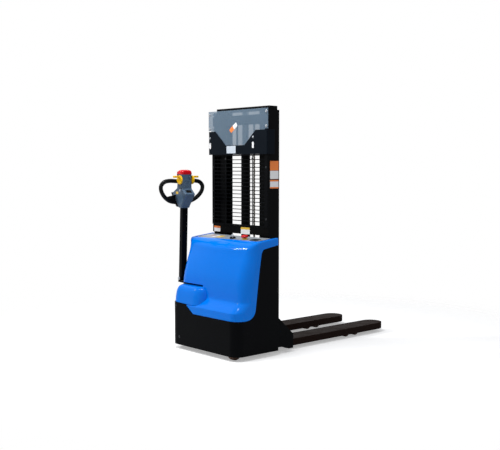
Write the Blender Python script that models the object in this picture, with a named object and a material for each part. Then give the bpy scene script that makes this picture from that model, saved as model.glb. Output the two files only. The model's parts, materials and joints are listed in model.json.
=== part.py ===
"""Walkie stacker: an electric pedestrian stacker with a duplex mast and wrap-over forks.

Metres, +Z up. +X points along the forks, +Y to the machine's left.  The machine is drawn from a
datum: x = 0 at the rear face of the chassis, y = 0 on the mast's centre plane, z = 0 on the floor.
The datum empty is then moved so that the origin lies under the middle of the bounding box.
"""
import math

import bmesh
import bpy
from mathutils import Matrix, Vector

# ---------------------------------------------------------------- driving sizes
GAP = 0.0003                 # gap between pieces that touch
SEAM = 0.003                 # visible seam between cover panels
DATUM = (-0.9269, -0.06125)  # where the datum lies from the middle of the bounding box

# chassis
BODY_LENGTH = 0.457
BODY_HALF = 0.425
CORNER_R = 0.085
SHELL_WALL = 0.006
SKIRT_LOW = 0.038
SKIRT_TOP = 0.319
SKIRT_STEP_Z = (0.389, 0.400)  # the skirt is higher under the drive cover, most at the corner
SKIRT_STEP_Y = (0.125, 0.222)
FLOOR_PLATE_Z = 0.165
FLOOR_PLATE_T = 0.010
DRIVE_PLATE_Z = 0.330
DRIVE_PLATE_T = 0.012
PLATE_SPLIT_Y = 0.158        # the drive plate lies to the left of this, the battery to the right

# main cover rows: height, rear face x, forward tilt, corner radius, flank inset, left pull-back
COVER_WALL = 0.005
COVER_ROWS = (
    (0.381, 0.0040, 0.00, 0.085, 0.000, 0.000), (0.391, 0.0130, 0.00, 0.085, 0.000, 0.000),
    (0.438, 0.0700, 0.00, 0.085, 0.000, 0.000), (0.455, 0.0830, 0.00, 0.085, 0.000, 0.000),
    (0.480, 0.0865, 0.00, 0.085, 0.000, 0.000), (0.530, 0.0870, 0.00, 0.085, 0.000, 0.000),
    (0.600, 0.0920, 0.00, 0.085, 0.000, 0.000), (0.655, 0.1010, 0.00, 0.085, 0.000, 0.000),
    (0.740, 0.1250, 0.00, 0.080, 0.000, 0.000), (0.822, 0.1540, 0.03, 0.072, 0.000, 0.000),
    (0.868, 0.1680, 0.10, 0.062, 0.001, 0.000), (0.891, 0.1800, 0.16, 0.050, 0.002, 0.004),
    (0.913, 0.2000, 0.15, 0.038, 0.004, 0.014), (0.930, 0.2240, 0.13, 0.032, 0.007, 0.025),
    (0.939, 0.2460, 0.10, 0.030, 0.014, 0.034),
)
PANEL_RIM = 0.016            # blue rim left around the grey panel
PANEL_T = 0.006
MAST_NOTCH_Y = 0.358

# drive cover, a hood over the drive motor
HOOD_ROWS = ((0.450, 0.004), (0.488, 0.010), (0.512, 0.018), (0.528, 0.028), (0.538, 0.042),
             (0.542, 0.058))
HOOD_TOP = 0.542
HOOD_INSET = 0.006
HOOD_RIGHT_Y = 0.032
HOOD_BEND_R = 0.112
HOOD_FRONT = 0.225
HOOD_WALL = 0.004
HOOD_LAP_TOP = 0.470         # below this the hood's left flank laps under the main cover
HOOD_LAP_X = 0.208
SLOT_HEIGHT = 0.015          # slot above the hood in which the steering plate swings
SLOT_RIGHT_Y = 0.096

# drive and steering
STEER_XY = (0.138, 0.300)
STEER_REST = -95.0           # degrees from straight ahead: the tiller is parked at the left side
DRIVE_WHEEL_R = 0.100
DRIVE_WHEEL_W = 0.070
NECK_R = 0.055
MOTOR_R = 0.065
MOTOR_TOP = 0.505
COLUMN_R = 0.024
PLATE_T = 0.008
HINGE_RISE = 0.025           # tiller hinge above the steering plate
HINGE_PIN_R = 0.008
ARM_HALF_W = 0.027
ARM_HALF_T = 0.023
ARM_LENGTH = 0.609
ARM_LEAN = 2.5               # degrees past vertical when parked
ARM_STAND_OFF = 0.004638     # the parked arm's nearest corner stands off the flank at hinge height
TILLER_REACH = (BODY_HALF - STEER_XY[1] + ARM_HALF_T + ARM_STAND_OFF
                + ARM_HALF_W * math.tan(math.radians(-90 - STEER_REST)))  # steering axis to tiller hinge

# tiller head, measured from the top of the arm
HEAD_SECTIONS = (            # height, half width, back, front, half width of the nose, start of its flanks
    (0.000, 0.040, 0.030, 0.030, 0.033, 0.022), (0.018, 0.046, 0.034, 0.034, 0.038, 0.022),
    (0.122, 0.050, 0.122, 0.100, 0.046, 0.090), (0.166, 0.052, 0.046, 0.042, 0.046, 0.034),
    (0.240, 0.050, 0.040, 0.040, 0.042, 0.032), (0.290, 0.050, 0.040, 0.040, 0.042, 0.032),
)
LOOP_R = 0.018
LOOP_PLANE = 0.038           # the loops lie this far towards the operator
LOOP_POINTS = (              # distance from the middle, height
    (0.020, 0.225), (0.060, 0.226), (0.120, 0.229), (0.170, 0.222), (0.200, 0.201),
    (0.211, 0.174), (0.202, 0.136), (0.172, 0.096), (0.128, 0.064), (0.084, 0.048), (0.020, 0.040),
)
THROTTLE_AT = (0.020, 0.240)  # towards the mast, height
THROTTLE_R = 0.038
BELLY_TRAVEL = 0.006

# castor
CASTOR_XY = (0.105, -0.320)
CASTOR_TRAIL = 0.030
CASTOR_R = 0.0625
CASTOR_W = 0.040

# mast
MAST_X = 0.422
MAST_DEPTH = 0.112
MAST_HALF = 0.3508
MAST_TOP = 2.000
RAIL_WEB = 0.010
RAIL_FLANGE = 0.012
OUTER_FLANGE_REACH = 0.055
FOOT_Z = (0.045, 0.095)
NEST_GAP_X = 0.0035
NEST_GAP_Y = 0.0068
INNER_LOW = 0.110
INNER_EDGE = 0.215
TOP_TIE_T = 0.033
TIE_T = 0.0137
MID_TIE_Z = (0.975, 1.042)
HIGH_TIE_Z = (1.885, 1.965)
LOW_TIE_Z = (0.120, 0.200)

# lift cylinder and chains
CYL_R = 0.038
CYL_ROOM = 0.0015            # round the cylinder, in the inner mast's low tie
ROD_R = 0.028
CYL_TOP = 1.700
CYL_FLOOR = 0.025
COLLAR_H = 0.040
PULLEY_R = 0.032
PULLEY_W = 0.022
PULLEY_Y = 0.065
PULLEY_Z = 1.925
CHAIN_T = 0.008
CHAIN_W = 0.018

# carriage and forks
CARRIAGE_Z = (0.130, 0.600)
CARRIAGE_BAR_X = (0.540, 0.556)
CARRIAGE_HALF = 0.300
CARRIAGE_PLATE_Y = (0.198, 0.210)
FORK_CENTRE = 0.245
FORK_W = 0.195
FORK_TIP = 1.930
FORK_LOW = 0.032
FORK_WALL = 0.006
SHANK_T = 0.020
SKIRT_START = 0.660
HEEL_FILLET = 0.040

# support legs and load rollers
LEG_HALF = 0.0825
LEG_Z = (0.035, 0.080)
LEG_WALL = 0.008
LEG_TIP = 1.660
ROLLER_R = 0.040
ROLLER_HEADROOM = 0.004      # between the load rollers and the lowered forks
FORK_TOP = 2 * ROLLER_R + ROLLER_HEADROOM + FORK_WALL
ROLLER_W = 0.075
ROLLER_X = (1.450, 1.575)
BOGIE_PLATE_T = 0.008
SIDE_WING_Y = 0.398
SIDE_WING_T = 0.010

# guards
GUARD_Z = (1.043, 1.640)
GUARD_X = 0.400
GUARD_T = 0.003
GUARD_ROWS = 18
GUARD_BAR = 0.0065
GUARD_POST_Y = 0.170
HANGER_Z = (1.640, 1.838)
HANGER_X = 0.378
HANGER_HALF = 0.372
HANGER_T = 0.004
HANGER_WRAP = 0.082
NOTCH_MID = 0.025
NOTCH_HALF = (0.119, 0.267)
NOTCH_LOW = 1.716
SHIELD_Z = (1.690, 1.845, 2.010)
SHIELD_T = 0.004
SHIELD_HALF = (0.340, 0.376)

SEGMENTS = 24

# ---------------------------------------------------------------- scene helpers
for old in list(bpy.data.objects):
    bpy.data.objects.remove(old, do_unlink=True)


def empty(name, location=(0, 0, 0), rotation=(0, 0, 0), parent=None):
    """An empty that carries pieces: its origin is a joint axis or a datum."""
    obj = bpy.data.objects.new(name, None)
    bpy.context.scene.collection.objects.link(obj)
    obj.location = location
    obj.rotation_euler = rotation
    obj.parent = parent
    return obj


def colour(name, hex_code, roughness, metallic=0.0, alpha=1.0):
    """A Principled material from an sRGB colour."""
    material = bpy.data.materials.new(name)
    material.use_nodes = True
    shader = material.node_tree.nodes["Principled BSDF"]
    srgb = [int(hex_code[i:i + 2], 16) / 255 for i in (0, 2, 4)]
    linear = [c / 12.92 if c <= 0.04045 else ((c + 0.055) / 1.055) ** 2.4 for c in srgb]
    shader.inputs["Base Color"].default_value = (*linear, 1)
    shader.inputs["Roughness"].default_value = roughness
    shader.inputs["Metallic"].default_value = metallic
    shader.inputs["Alpha"].default_value = alpha
    return material


def piece(name, bm, material=None, parent=None, smooth=False, location=(0, 0, 0)):
    """Turn a bmesh into a named object with its own material."""
    bmesh.ops.remove_doubles(bm, verts=bm.verts, dist=1e-6)
    bmesh.ops.recalc_face_normals(bm, faces=bm.faces)
    mesh = bpy.data.meshes.new(name)
    bm.to_mesh(mesh)
    bm.free()
    obj = bpy.data.objects.new(name, mesh)
    bpy.context.scene.collection.objects.link(obj)
    obj.location = location
    obj.parent = parent if parent else machine
    if material:
        obj.data.materials.append(material)
    if smooth:
        mesh.shade_smooth()
        mesh.set_sharp_from_angle(angle=math.radians(35))
    return obj


def combine(target, tool_bm, operation):
    """Boolean a helper mesh into a piece; the helper stays as a hidden wire object."""
    count = len(target.modifiers)
    tool = piece(f"{operation.lower()}_{target.name}_{count}", tool_bm, parent=target.parent)
    tool.location = target.location
    tool.hide_render = True
    tool.display_type = "WIRE"
    modifier = target.modifiers.new(f"{operation.lower()}_{count}", "BOOLEAN")
    modifier.operation = operation
    modifier.solver = "EXACT"
    modifier.object = tool
    return target


def cut(target, *tools):
    for tool in tools:
        combine(target, tool, "DIFFERENCE")
    return target


def fuse(target, *tools):
    for tool in tools:
        combine(target, tool, "UNION")
    return target


def hollow(target, thickness):
    """Give an open skin a wall on its inner side."""
    modifier = target.modifiers.new("wall", "SOLIDIFY")
    modifier.thickness = thickness
    modifier.offset = -1
    modifier.use_even_offset = True
    return target


# ---------------------------------------------------------------- mesh helpers
def block(low, high, bevel=0.0):
    """A box between two corners, with its edges chamfered."""
    bm = bmesh.new()
    bmesh.ops.create_cube(bm, size=1.0)
    size = [h - l for l, h in zip(low, high)]
    middle = [(h + l) / 2 for l, h in zip(low, high)]
    bmesh.ops.scale(bm, vec=size, verts=bm.verts)
    bmesh.ops.translate(bm, vec=middle, verts=bm.verts)
    if bevel:
        bmesh.ops.bevel(bm, geom=bm.edges[:], offset=bevel, segments=1, affect="EDGES")
    return bm


def prism(outline, axis, low, high):
    """Extrude a flat outline along an axis; outline pairs are the other two coordinates in order."""
    place = {"X": lambda a, b, c: (c, a, b),
             "Y": lambda a, b, c: (a, c, b),
             "Z": lambda a, b, c: (a, b, c)}[axis]
    bm = bmesh.new()
    ends = [[bm.verts.new(place(a, b, c)) for a, b in outline] for c in (low, high)]
    bm.faces.new(ends[0])
    bm.faces.new(list(reversed(ends[1])))
    count = len(outline)
    for i in range(count):
        j = (i + 1) % count
        bm.faces.new((ends[0][j], ends[0][i], ends[1][i], ends[1][j]))
    bmesh.ops.recalc_face_normals(bm, faces=bm.faces)
    return bm


def turned(profile, centre=(0, 0, 0), axis="Z", segments=SEGMENTS):
    """Turn a closed profile of (radius, height) pairs; a flat facet faces each main direction."""
    turn = {"X": Matrix.Rotation(math.pi / 2, 4, "Y"),
            "Y": Matrix.Rotation(-math.pi / 2, 4, "X"),
            "Z": Matrix()}[axis]
    move = Matrix.Translation(centre) @ turn
    widen = 1 / math.cos(math.pi / segments)
    bm = bmesh.new()
    rings = []
    for radius, height in profile:
        if radius == 0:
            rings.append([bm.verts.new(move @ Vector((0, 0, height)))] * segments)
            continue
        angles = [(i + 0.5) * 2 * math.pi / segments for i in range(segments)]
        reach = radius * widen
        rings.append([bm.verts.new(move @ Vector((reach * math.cos(a), reach * math.sin(a), height)))
                      for a in angles])
    pairs = list(zip(rings, rings[1:] + rings[:1]))
    for first, second in pairs:
        for i in range(segments):
            j = (i + 1) % segments
            corners = []
            for vert in (first[i], first[j], second[j], second[i]):
                if vert not in corners:
                    corners.append(vert)
            if len(corners) > 2:
                bm.faces.new(corners)
    bmesh.ops.recalc_face_normals(bm, faces=bm.faces)
    return bm


def rod(radius, low, high, centre=(0, 0, 0), axis="Z", segments=SEGMENTS):
    """A plain round bar."""
    return turned([(0, low), (radius, low), (radius, high), (0, high)], centre, axis, segments)


def ring(inner, outer, low, high, centre=(0, 0, 0), axis="Z", segments=SEGMENTS):
    """A plain round tube."""
    return turned([(inner, low), (outer, low), (outer, high), (inner, high)], centre, axis, segments)


def smooth_path(points, steps):
    """Catmull-Rom points through a list of points."""
    knots = [Vector(p) for p in points]
    knots = [knots[0] * 2 - knots[1]] + knots + [knots[-1] * 2 - knots[-2]]
    path = []
    for i in range(1, len(knots) - 2):
        a, b, c, d = knots[i - 1:i + 3]
        for k in range(steps):
            t = k / steps
            path.append(0.5 * (2 * b + (c - a) * t + (2 * a - 5 * b + 4 * c - d) * t * t
                               + (3 * b - a - 3 * c + d) * t ** 3))
    path.append(knots[-2])
    return path


def swept(path, radius, sides):
    """A round tube along a path that lies in a plane of constant x."""
    bm = bmesh.new()
    rings = []
    for i, point in enumerate(path):
        along = (path[min(i + 1, len(path) - 1)] - path[max(i - 1, 0)]).normalized()
        across = Vector((1, 0, 0))
        up = along.cross(across).normalized()
        rings.append([bm.verts.new(point + radius * (math.cos(a) * across + math.sin(a) * up))
                      for a in (2 * math.pi * k / sides for k in range(sides))])
    for first, second in zip(rings, rings[1:]):
        for k in range(sides):
            m = (k + 1) % sides
            bm.faces.new((first[k], first[m], second[m], second[k]))
    bm.faces.new(rings[0])
    bm.faces.new(rings[-1])
    bmesh.ops.recalc_face_normals(bm, faces=bm.faces)
    return bm


def lofted(sections):
    """Join closed loops of equal length into one solid."""
    bm = bmesh.new()
    loops = [[bm.verts.new(p) for p in section] for section in sections]
    for first, second in zip(loops, loops[1:]):
        count = len(first)
        for i in range(count):
            j = (i + 1) % count
            bm.faces.new((first[i], first[j], second[j], second[i]))
    bm.faces.new(loops[0])
    bm.faces.new(loops[-1])
    bmesh.ops.recalc_face_normals(bm, faces=bm.faces)
    return bm


def skin(rows, closing_face):
    """Join open rows of equal length into a skin; the last row may be closed with one flat face."""
    bm = bmesh.new()
    lines = [[bm.verts.new(p) for p in row] for row in rows]
    for first, second in zip(lines, lines[1:]):
        for i in range(len(first) - 1):
            bm.faces.new((first[i], first[i + 1], second[i + 1], second[i]))
    if closing_face:
        bm.faces.new(lines[-1])
    return bm


def arc(centre, radius, start, end, steps):
    """Points on an arc, angles in degrees, both ends included."""
    return [(centre[0] + radius * math.cos(math.radians(start + (end - start) * i / steps)),
             centre[1] + radius * math.sin(math.radians(start + (end - start) * i / steps)))
            for i in range(steps + 1)]


def body_plan(rear, half, corner, front):
    """Plan line of the body: front left, rear left corner, rear right corner, front right."""
    steps = 6
    left = arc((rear + corner, half - corner), corner, 90, 180, steps)
    right = arc((rear + corner, corner - half), corner, 180, 270, steps)
    return [(front, half)] + left + right + [(front, -half)]


def side_line(offset=0.0):
    """Line on the flank between the black side plate and the cover, from low rear to high front."""
    low = SKIRT_TOP + offset
    line = [(-0.02, low), (0.100, low)]
    line += arc((0.118, low + 0.090), 0.090, 270, 350, 5)
    line += [(0.231 - offset, 0.558), (0.253 - offset, 0.717), (0.274 - offset, 0.843)]
    line += [(0.290 - offset, 0.866 + offset), (0.318, 0.878 + offset), (BODY_LENGTH + 0.02, 0.904 + offset)]
    return line


# ---------------------------------------------------------------- materials and datum
black_paint = colour("black_powder_coat", "16171A", 0.55)
blue_plastic = colour("blue_abs", "0078E6", 0.25)
grey_plastic = colour("grey_panel", "8A9096", 0.5)
slate_plastic = colour("slate_plastic", "505F6E", 0.5)
dark_plastic = colour("black_plastic", "1B1D20", 0.6)
steel = colour("ground_steel", "B9BDC2", 0.3, 1.0)
chrome = colour("hard_chrome", "D9DCDF", 0.12, 1.0)
urethane = colour("urethane", "2B2220", 0.6)
rubber = colour("black_rubber", "141414", 0.8)
red_plastic = colour("red_plastic", "C80014", 0.35)
yellow_plastic = colour("yellow_plastic", "F5C314", 0.4)
clear_sheet = colour("clear_polycarbonate", "B9CCDD", 0.08, 0.0, 0.35)
machine = empty("machine", (*DATUM, 0))


# ---------------------------------------------------------------- chassis
def build_chassis():
    """Skirt and side plates, floor plate, drive plate and legs."""
    plan = body_plan(0, BODY_HALF, CORNER_R, BODY_LENGTH)
    rows = [[(x, y, z) for x, y in plan] for z in (SKIRT_LOW, 0.910)]
    shell = hollow(piece("chassis_shell", skin(rows, False), black_paint, smooth=True), SHELL_WALL)
    line = side_line()
    above = line + [(BODY_LENGTH + 0.02, 1.0), (-0.02, 1.0)]
    cut(shell, prism(above, "Y", -0.5, SKIRT_STEP_Y[0]))
    step_y, step_z = SKIRT_STEP_Y, SKIRT_STEP_Z
    raised = [(-0.02, step_z[1]), (0.2077, step_z[1])] + [(x, z) for x, z in above if z > step_z[1]]
    cut(shell, prism(raised, "Y", step_y[1] + 0.1, 0.5))
    wedge = [(step_y[0] - 0.001, SKIRT_TOP), (step_y[0], SKIRT_TOP), (step_y[1], step_z[0]),
             (BODY_HALF + 0.01, step_z[1]), (BODY_HALF + 0.01, 1.0), (step_y[0] - 0.001, 1.0)]
    cut(shell, prism(wedge, "X", -0.02, 0.100))

    inner = SHELL_WALL + GAP
    plan = body_plan(inner, BODY_HALF - inner, CORNER_R - SHELL_WALL, MAST_X - GAP)
    right = [(x, y) for x, y in plan if y < 0]
    right = [(right[-1][0], PLATE_SPLIT_Y), (inner, PLATE_SPLIT_Y)] + right
    left = [(x, y) for x, y in plan if y > 0] + [(inner, PLATE_SPLIT_Y + GAP)]
    left += [(left[0][0], PLATE_SPLIT_Y + GAP)]
    piece("floor_plate", prism(right, "Z", FLOOR_PLATE_Z, FLOOR_PLATE_Z + FLOOR_PLATE_T), black_paint)
    plate = piece("drive_plate", prism(left, "Z", DRIVE_PLATE_Z, DRIVE_PLATE_Z + DRIVE_PLATE_T), black_paint)
    low, high = DRIVE_PLATE_Z, DRIVE_PLATE_Z + DRIVE_PLATE_T
    hole_r, flange_r = NECK_R + 0.007, NECK_R + 0.022
    cut(plate, rod(hole_r, low - 0.01, high + 0.01, (*STEER_XY, 0)))
    race = [(NECK_R + 0.0008, low), (hole_r - GAP, low), (hole_r - GAP, high + GAP),
            (flange_r, high + GAP), (flange_r, high + 0.006), (NECK_R + 0.0008, high + 0.006)]
    piece("steering_bearing", turned(race, (*STEER_XY, 0)), steel, smooth=True)


def build_legs():
    """Straddling support legs with their side wings, and the rocking bogies at the tips."""
    pivot_x = sum(ROLLER_X) / 2
    pocket_half = ROLLER_W / 2 + BOGIE_PLATE_T + 0.006
    for side, sign in (("left", 1), ("right", -1)):
        mid = sign * FORK_CENTRE
        low_x = MAST_X + MAST_DEPTH + GAP
        beam = block((low_x, mid - LEG_HALF, LEG_Z[0]), (LEG_TIP, mid + LEG_HALF, LEG_Z[1]))
        leg = piece(f"support_leg_{side}", beam, black_paint)
        cut(leg, block((low_x + 0.012, mid - LEG_HALF + LEG_WALL, 0.020),
                       (ROLLER_X[0] - 0.070, mid + LEG_HALF - LEG_WALL, LEG_Z[1] - LEG_WALL)))
        outrigger = sorted((mid, sign * (SIDE_WING_Y + 0.002)))
        fuse(leg, block((0.590, outrigger[0], LEG_Z[0]), (0.648, outrigger[1], LEG_Z[1] - 0.0005)))
        wing = [(0.445, 0.060), (0.523, 0.055), (0.565, 0.040), (0.600, 0.031), (0.650, 0.031),
                (0.650, 0.150), (0.636, 0.162), (0.495, 0.290), (0.445, 0.330)]
        wing_y = sorted((sign * (SIDE_WING_Y - SIDE_WING_T / 2), sign * (SIDE_WING_Y + SIDE_WING_T / 2)))
        fuse(leg, prism(wing, "Y", *wing_y))
        cut(leg, block((ROLLER_X[0] - ROLLER_R - 0.012, mid - pocket_half, 0.02),
                       (ROLLER_X[1] + ROLLER_R + 0.012, mid + pocket_half, 0.1)))

        axis = empty(f"bogie_axis_{side}", (pivot_x, mid, ROLLER_R), parent=machine)
        reach = ROLLER_X[1] - pivot_x
        plate = (ROLLER_W / 2 + 0.0010, ROLLER_W / 2 + BOGIE_PLATE_T)
        end_x = reach + 0.016
        cheek = block((-end_x, plate[0], -0.014), (end_x, plate[1], 0.014))
        bogie = piece(f"bogie_{side}", cheek, steel, axis)
        fuse(bogie, block((-end_x, -plate[1], -0.014), (end_x, -plate[0], 0.014)))
        fuse(bogie, rod(0.010, -pocket_half + GAP, pocket_half - GAP, axis="Y", segments=12))
        for end, offset in (("rear", -reach), ("front", reach)):
            fuse(bogie, rod(0.007, -plate[1] + 0.001, plate[1] - 0.001, (offset, 0, 0), "Y", 12))
            roller = ring(0.0073, ROLLER_R, -ROLLER_W / 2, ROLLER_W / 2, axis="Y")
            piece(f"load_roller_{side}_{end}", roller, urethane, axis, True, (offset, 0, 0))


def build_castor():
    """Swivel castor under the right rear corner."""
    top = FLOOR_PLATE_Z - GAP
    plate_low = top - 0.012
    x, y = CASTOR_XY
    piece("castor_plate", block((x - 0.045, y - 0.045, plate_low), (x + 0.045, y + 0.045, top), 0.002), steel)
    swivel = empty("castor_axis", (x, y, 0), parent=machine)
    crown = (CASTOR_R * 2 + 0.004, plate_low - GAP)
    fork = piece("castor_fork", rod(0.030, crown[0], crown[1]), steel, swivel, True)
    cheek = CASTOR_W / 2 + 0.003
    outline = [(0.026, crown[1] - 0.001), (-0.026, crown[1] - 0.001),
               (-CASTOR_TRAIL - 0.014, CASTOR_R + 0.010),
               (-CASTOR_TRAIL - 0.014, CASTOR_R - 0.014), (-CASTOR_TRAIL + 0.014, CASTOR_R - 0.014)]
    for sign in (-1, 1):
        fuse(fork, prism(outline, "Y", *sorted((sign * cheek, sign * (cheek + 0.005)))))
    fuse(fork, rod(0.006, -cheek - 0.004, cheek + 0.004, (-CASTOR_TRAIL, 0, CASTOR_R), "Y", 12))
    piece("castor_wheel", ring(0.0063, CASTOR_R, -CASTOR_W / 2, CASTOR_W / 2, axis="Y"),
          rubber, swivel, True, (-CASTOR_TRAIL, 0, CASTOR_R))


# ---------------------------------------------------------------- covers and what they hold
def cover_row(height, rear, tilt, corner, inset, pull, shrink=0.0, drop=0.0):
    """One row of the main cover; it rises towards the front, and its left end is pulled back."""
    inset += shrink
    plan = body_plan(rear + shrink, BODY_HALF - inset, corner, BODY_LENGTH - 0.0005)
    line = [(x - (pull if 0 < y and x < rear + shrink + corner + 1e-6 else 0), y) for x, y in plan]
    return [(x, y, height - drop + tilt * (x - rear)) for x, y in line]


def top_plane(x):
    """Height of the cover's sloping top at x."""
    height, rear, tilt = COVER_ROWS[-1][:3]
    return height + tilt * (x - rear)


def hood_rows(grow=0.0):
    """Rows of the drive cover: open at the front, resting on the skirt and the cover's ledge."""
    rows = []
    for height, inset in ((None, 0.0),) + HOOD_ROWS:
        half = BODY_HALF - HOOD_INSET - inset + grow
        back = HOOD_INSET + inset - grow
        corner = CORNER_R - HOOD_INSET - inset * 0.6
        bend = HOOD_BEND_R - inset + grow
        right = HOOD_RIGHT_Y + inset - grow
        line = [(HOOD_FRONT + grow, half)]
        line += arc((back + corner, half - corner), corner, 90, 180, 5)
        line += arc((back + bend, right + bend), bend, 180, 270, 7)
        line += [(HOOD_FRONT + grow, right)]
        if height is None:
            rows.append([(x, y, rest_height(y) + (GAP if grow == 0 else -0.0010)) for x, y in line])
        else:
            rows.append([(x, y, height + (grow if height == HOOD_TOP else 0)) for x, y in line])
    return rows


def rest_height(y):
    """Height of the skirt's raised part, carried on level to its right."""
    low, high = SKIRT_STEP_Z
    share = (y - SKIRT_STEP_Y[1]) / (BODY_HALF + 0.01 - SKIRT_STEP_Y[1])
    return low + (high - low) * max(0, share)


def build_covers():
    """Main cover, drive cover and control panel."""
    first, last = COVER_ROWS[0], COVER_ROWS[-1]
    height, rear, tilt = last[:3]
    rows = [cover_row(SKIRT_TOP + 0.0008, *first[1:])] + [cover_row(*row) for row in COVER_ROWS]
    rows.append(cover_row(*last, shrink=PANEL_RIM))
    rows.append(cover_row(*last, shrink=PANEL_RIM + 0.0005, drop=PANEL_T))
    cover = hollow(piece("main_cover", skin(rows, True), blue_plastic, smooth=True), COVER_WALL)

    step_y, step_z = SKIRT_STEP_Y, SKIRT_STEP_Z
    corner_y = BODY_HALF + 0.02
    step = [(step_y[0] - SEAM, 0.300), (step_y[0] - SEAM, SKIRT_TOP), (step_y[1] - SEAM, step_z[0] - 0.0010),
            (corner_y, step_z[1] - 0.0010), (corner_y, 0.300)]
    cut(cover, prism(step, "X", -0.02, HOOD_LAP_X))
    cut(cover, block((-0.02, BODY_HALF - 0.03, 0.300), (HOOD_LAP_X, corner_y, HOOD_LAP_TOP)))
    cut(cover, block((-0.02, SLOT_RIGHT_Y, HOOD_TOP - 0.002), (HOOD_LAP_X, corner_y, HOOD_TOP + SLOT_HEIGHT)))
    cut(cover, lofted(hood_rows(SEAM)))
    flank = [(x, z) for x, z in side_line(SEAM) if x > 0.1] + [(BODY_LENGTH + 0.02, 0.300), (0.118, 0.300)]
    for side in ((BODY_HALF - 0.030, BODY_HALF + 0.020), (-BODY_HALF - 0.020, -BODY_HALF + 0.030)):
        cut(cover, prism(flank, "Y", *side))
    cut(cover, block((MAST_X - 0.0035, -MAST_NOTCH_Y, 0.85), (BODY_LENGTH + 0.02, MAST_NOTCH_Y, 1.05)))

    drive_cover = hollow(piece("drive_cover", skin(hood_rows(), True), blue_plastic, smooth=True), HOOD_WALL)
    cut(drive_cover, rod(COLUMN_R + 0.004, 0.5, 0.6, (*STEER_XY, 0)))

    slope = math.atan(tilt)
    base = height - PANEL_T
    edge = rear + PANEL_RIM + 0.004
    front, half, chamfer = MAST_X - 0.008, 0.372, 0.03
    plan = [(edge, chamfer - half), (edge - last[5], half - chamfer), (edge + chamfer - last[5], half),
            (front, half), (front, -half), (edge + chamfer, -half)]
    sheet = [[(x, y, base + tilt * (x - rear) + lift) for x, y in plan] for lift in (GAP, PANEL_T)]
    piece("control_panel", lofted(sheet), grey_plastic)
    return slope


def build_controls(slope):
    """Emergency stop and key switch, square to the sloping panel."""
    places = {"estop": (0.300, -0.190), "key": (0.290, -0.050)}
    carriers = {name: empty(f"{name}_axis", (x, y, top_plane(x)), (0, -slope, 0), machine)
                for name, (x, y) in places.items()}
    estop = carriers["estop"]
    panel = bpy.data.objects["control_panel"]
    hole = rod(0.0095, -0.012, 0.012, segments=SEGMENTS)
    bmesh.ops.transform(hole, matrix=estop.matrix_basis, verts=hole.verts)
    cut(panel, hole)
    piece("estop_collar", ring(0.0095, 0.022, GAP, 0.010), yellow_plastic, estop, True)
    mushroom = [(0, 0.0020), (0.009, 0.0020), (0.009, 0.016), (0.026, 0.016), (0.030, 0.020),
                (0.030, 0.027), (0.024, 0.034), (0.012, 0.0375), (0, 0.0385)]
    piece("estop_button", turned(mushroom), red_plastic, estop, True)
    key = carriers["key"]
    housing = [(0, 0.0045), (0.0045, 0.0045), (0.0045, 0.015), (0.018, 0.015), (0.025, 0.011),
               (0.025, GAP), (0, GAP)]
    piece("key_switch", turned(housing), dark_plastic, key, True)
    handle = piece("ignition_key", rod(0.0041, 0.0050, 0.018, segments=12), steel, key, True)
    fuse(handle, block((-0.0015, -0.011, 0.017), (0.0015, 0.011, 0.036), 0.0005))


def build_power():
    """Battery, controller and hydraulic power unit inside the body."""
    floor = FLOOR_PLATE_Z + FLOOR_PLATE_T + GAP
    piece("battery_pack", block((0.215, -0.400, floor), (0.405, 0.018, 0.560), 0.006), dark_plastic)
    piece("motor_controller", block((0.230, -0.250, 0.560 + GAP), (0.395, -0.050, 0.625), 0.003), steel)
    deck = DRIVE_PLATE_Z + DRIVE_PLATE_T + GAP
    tank = block((0.245, 0.166, deck), (0.405, 0.405, 0.520), 0.006)
    unit = piece("hydraulic_power_unit", tank, black_paint)
    fuse(unit, rod(0.050, 0.510, 0.680, (0.325, 0.280, 0)))


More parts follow.
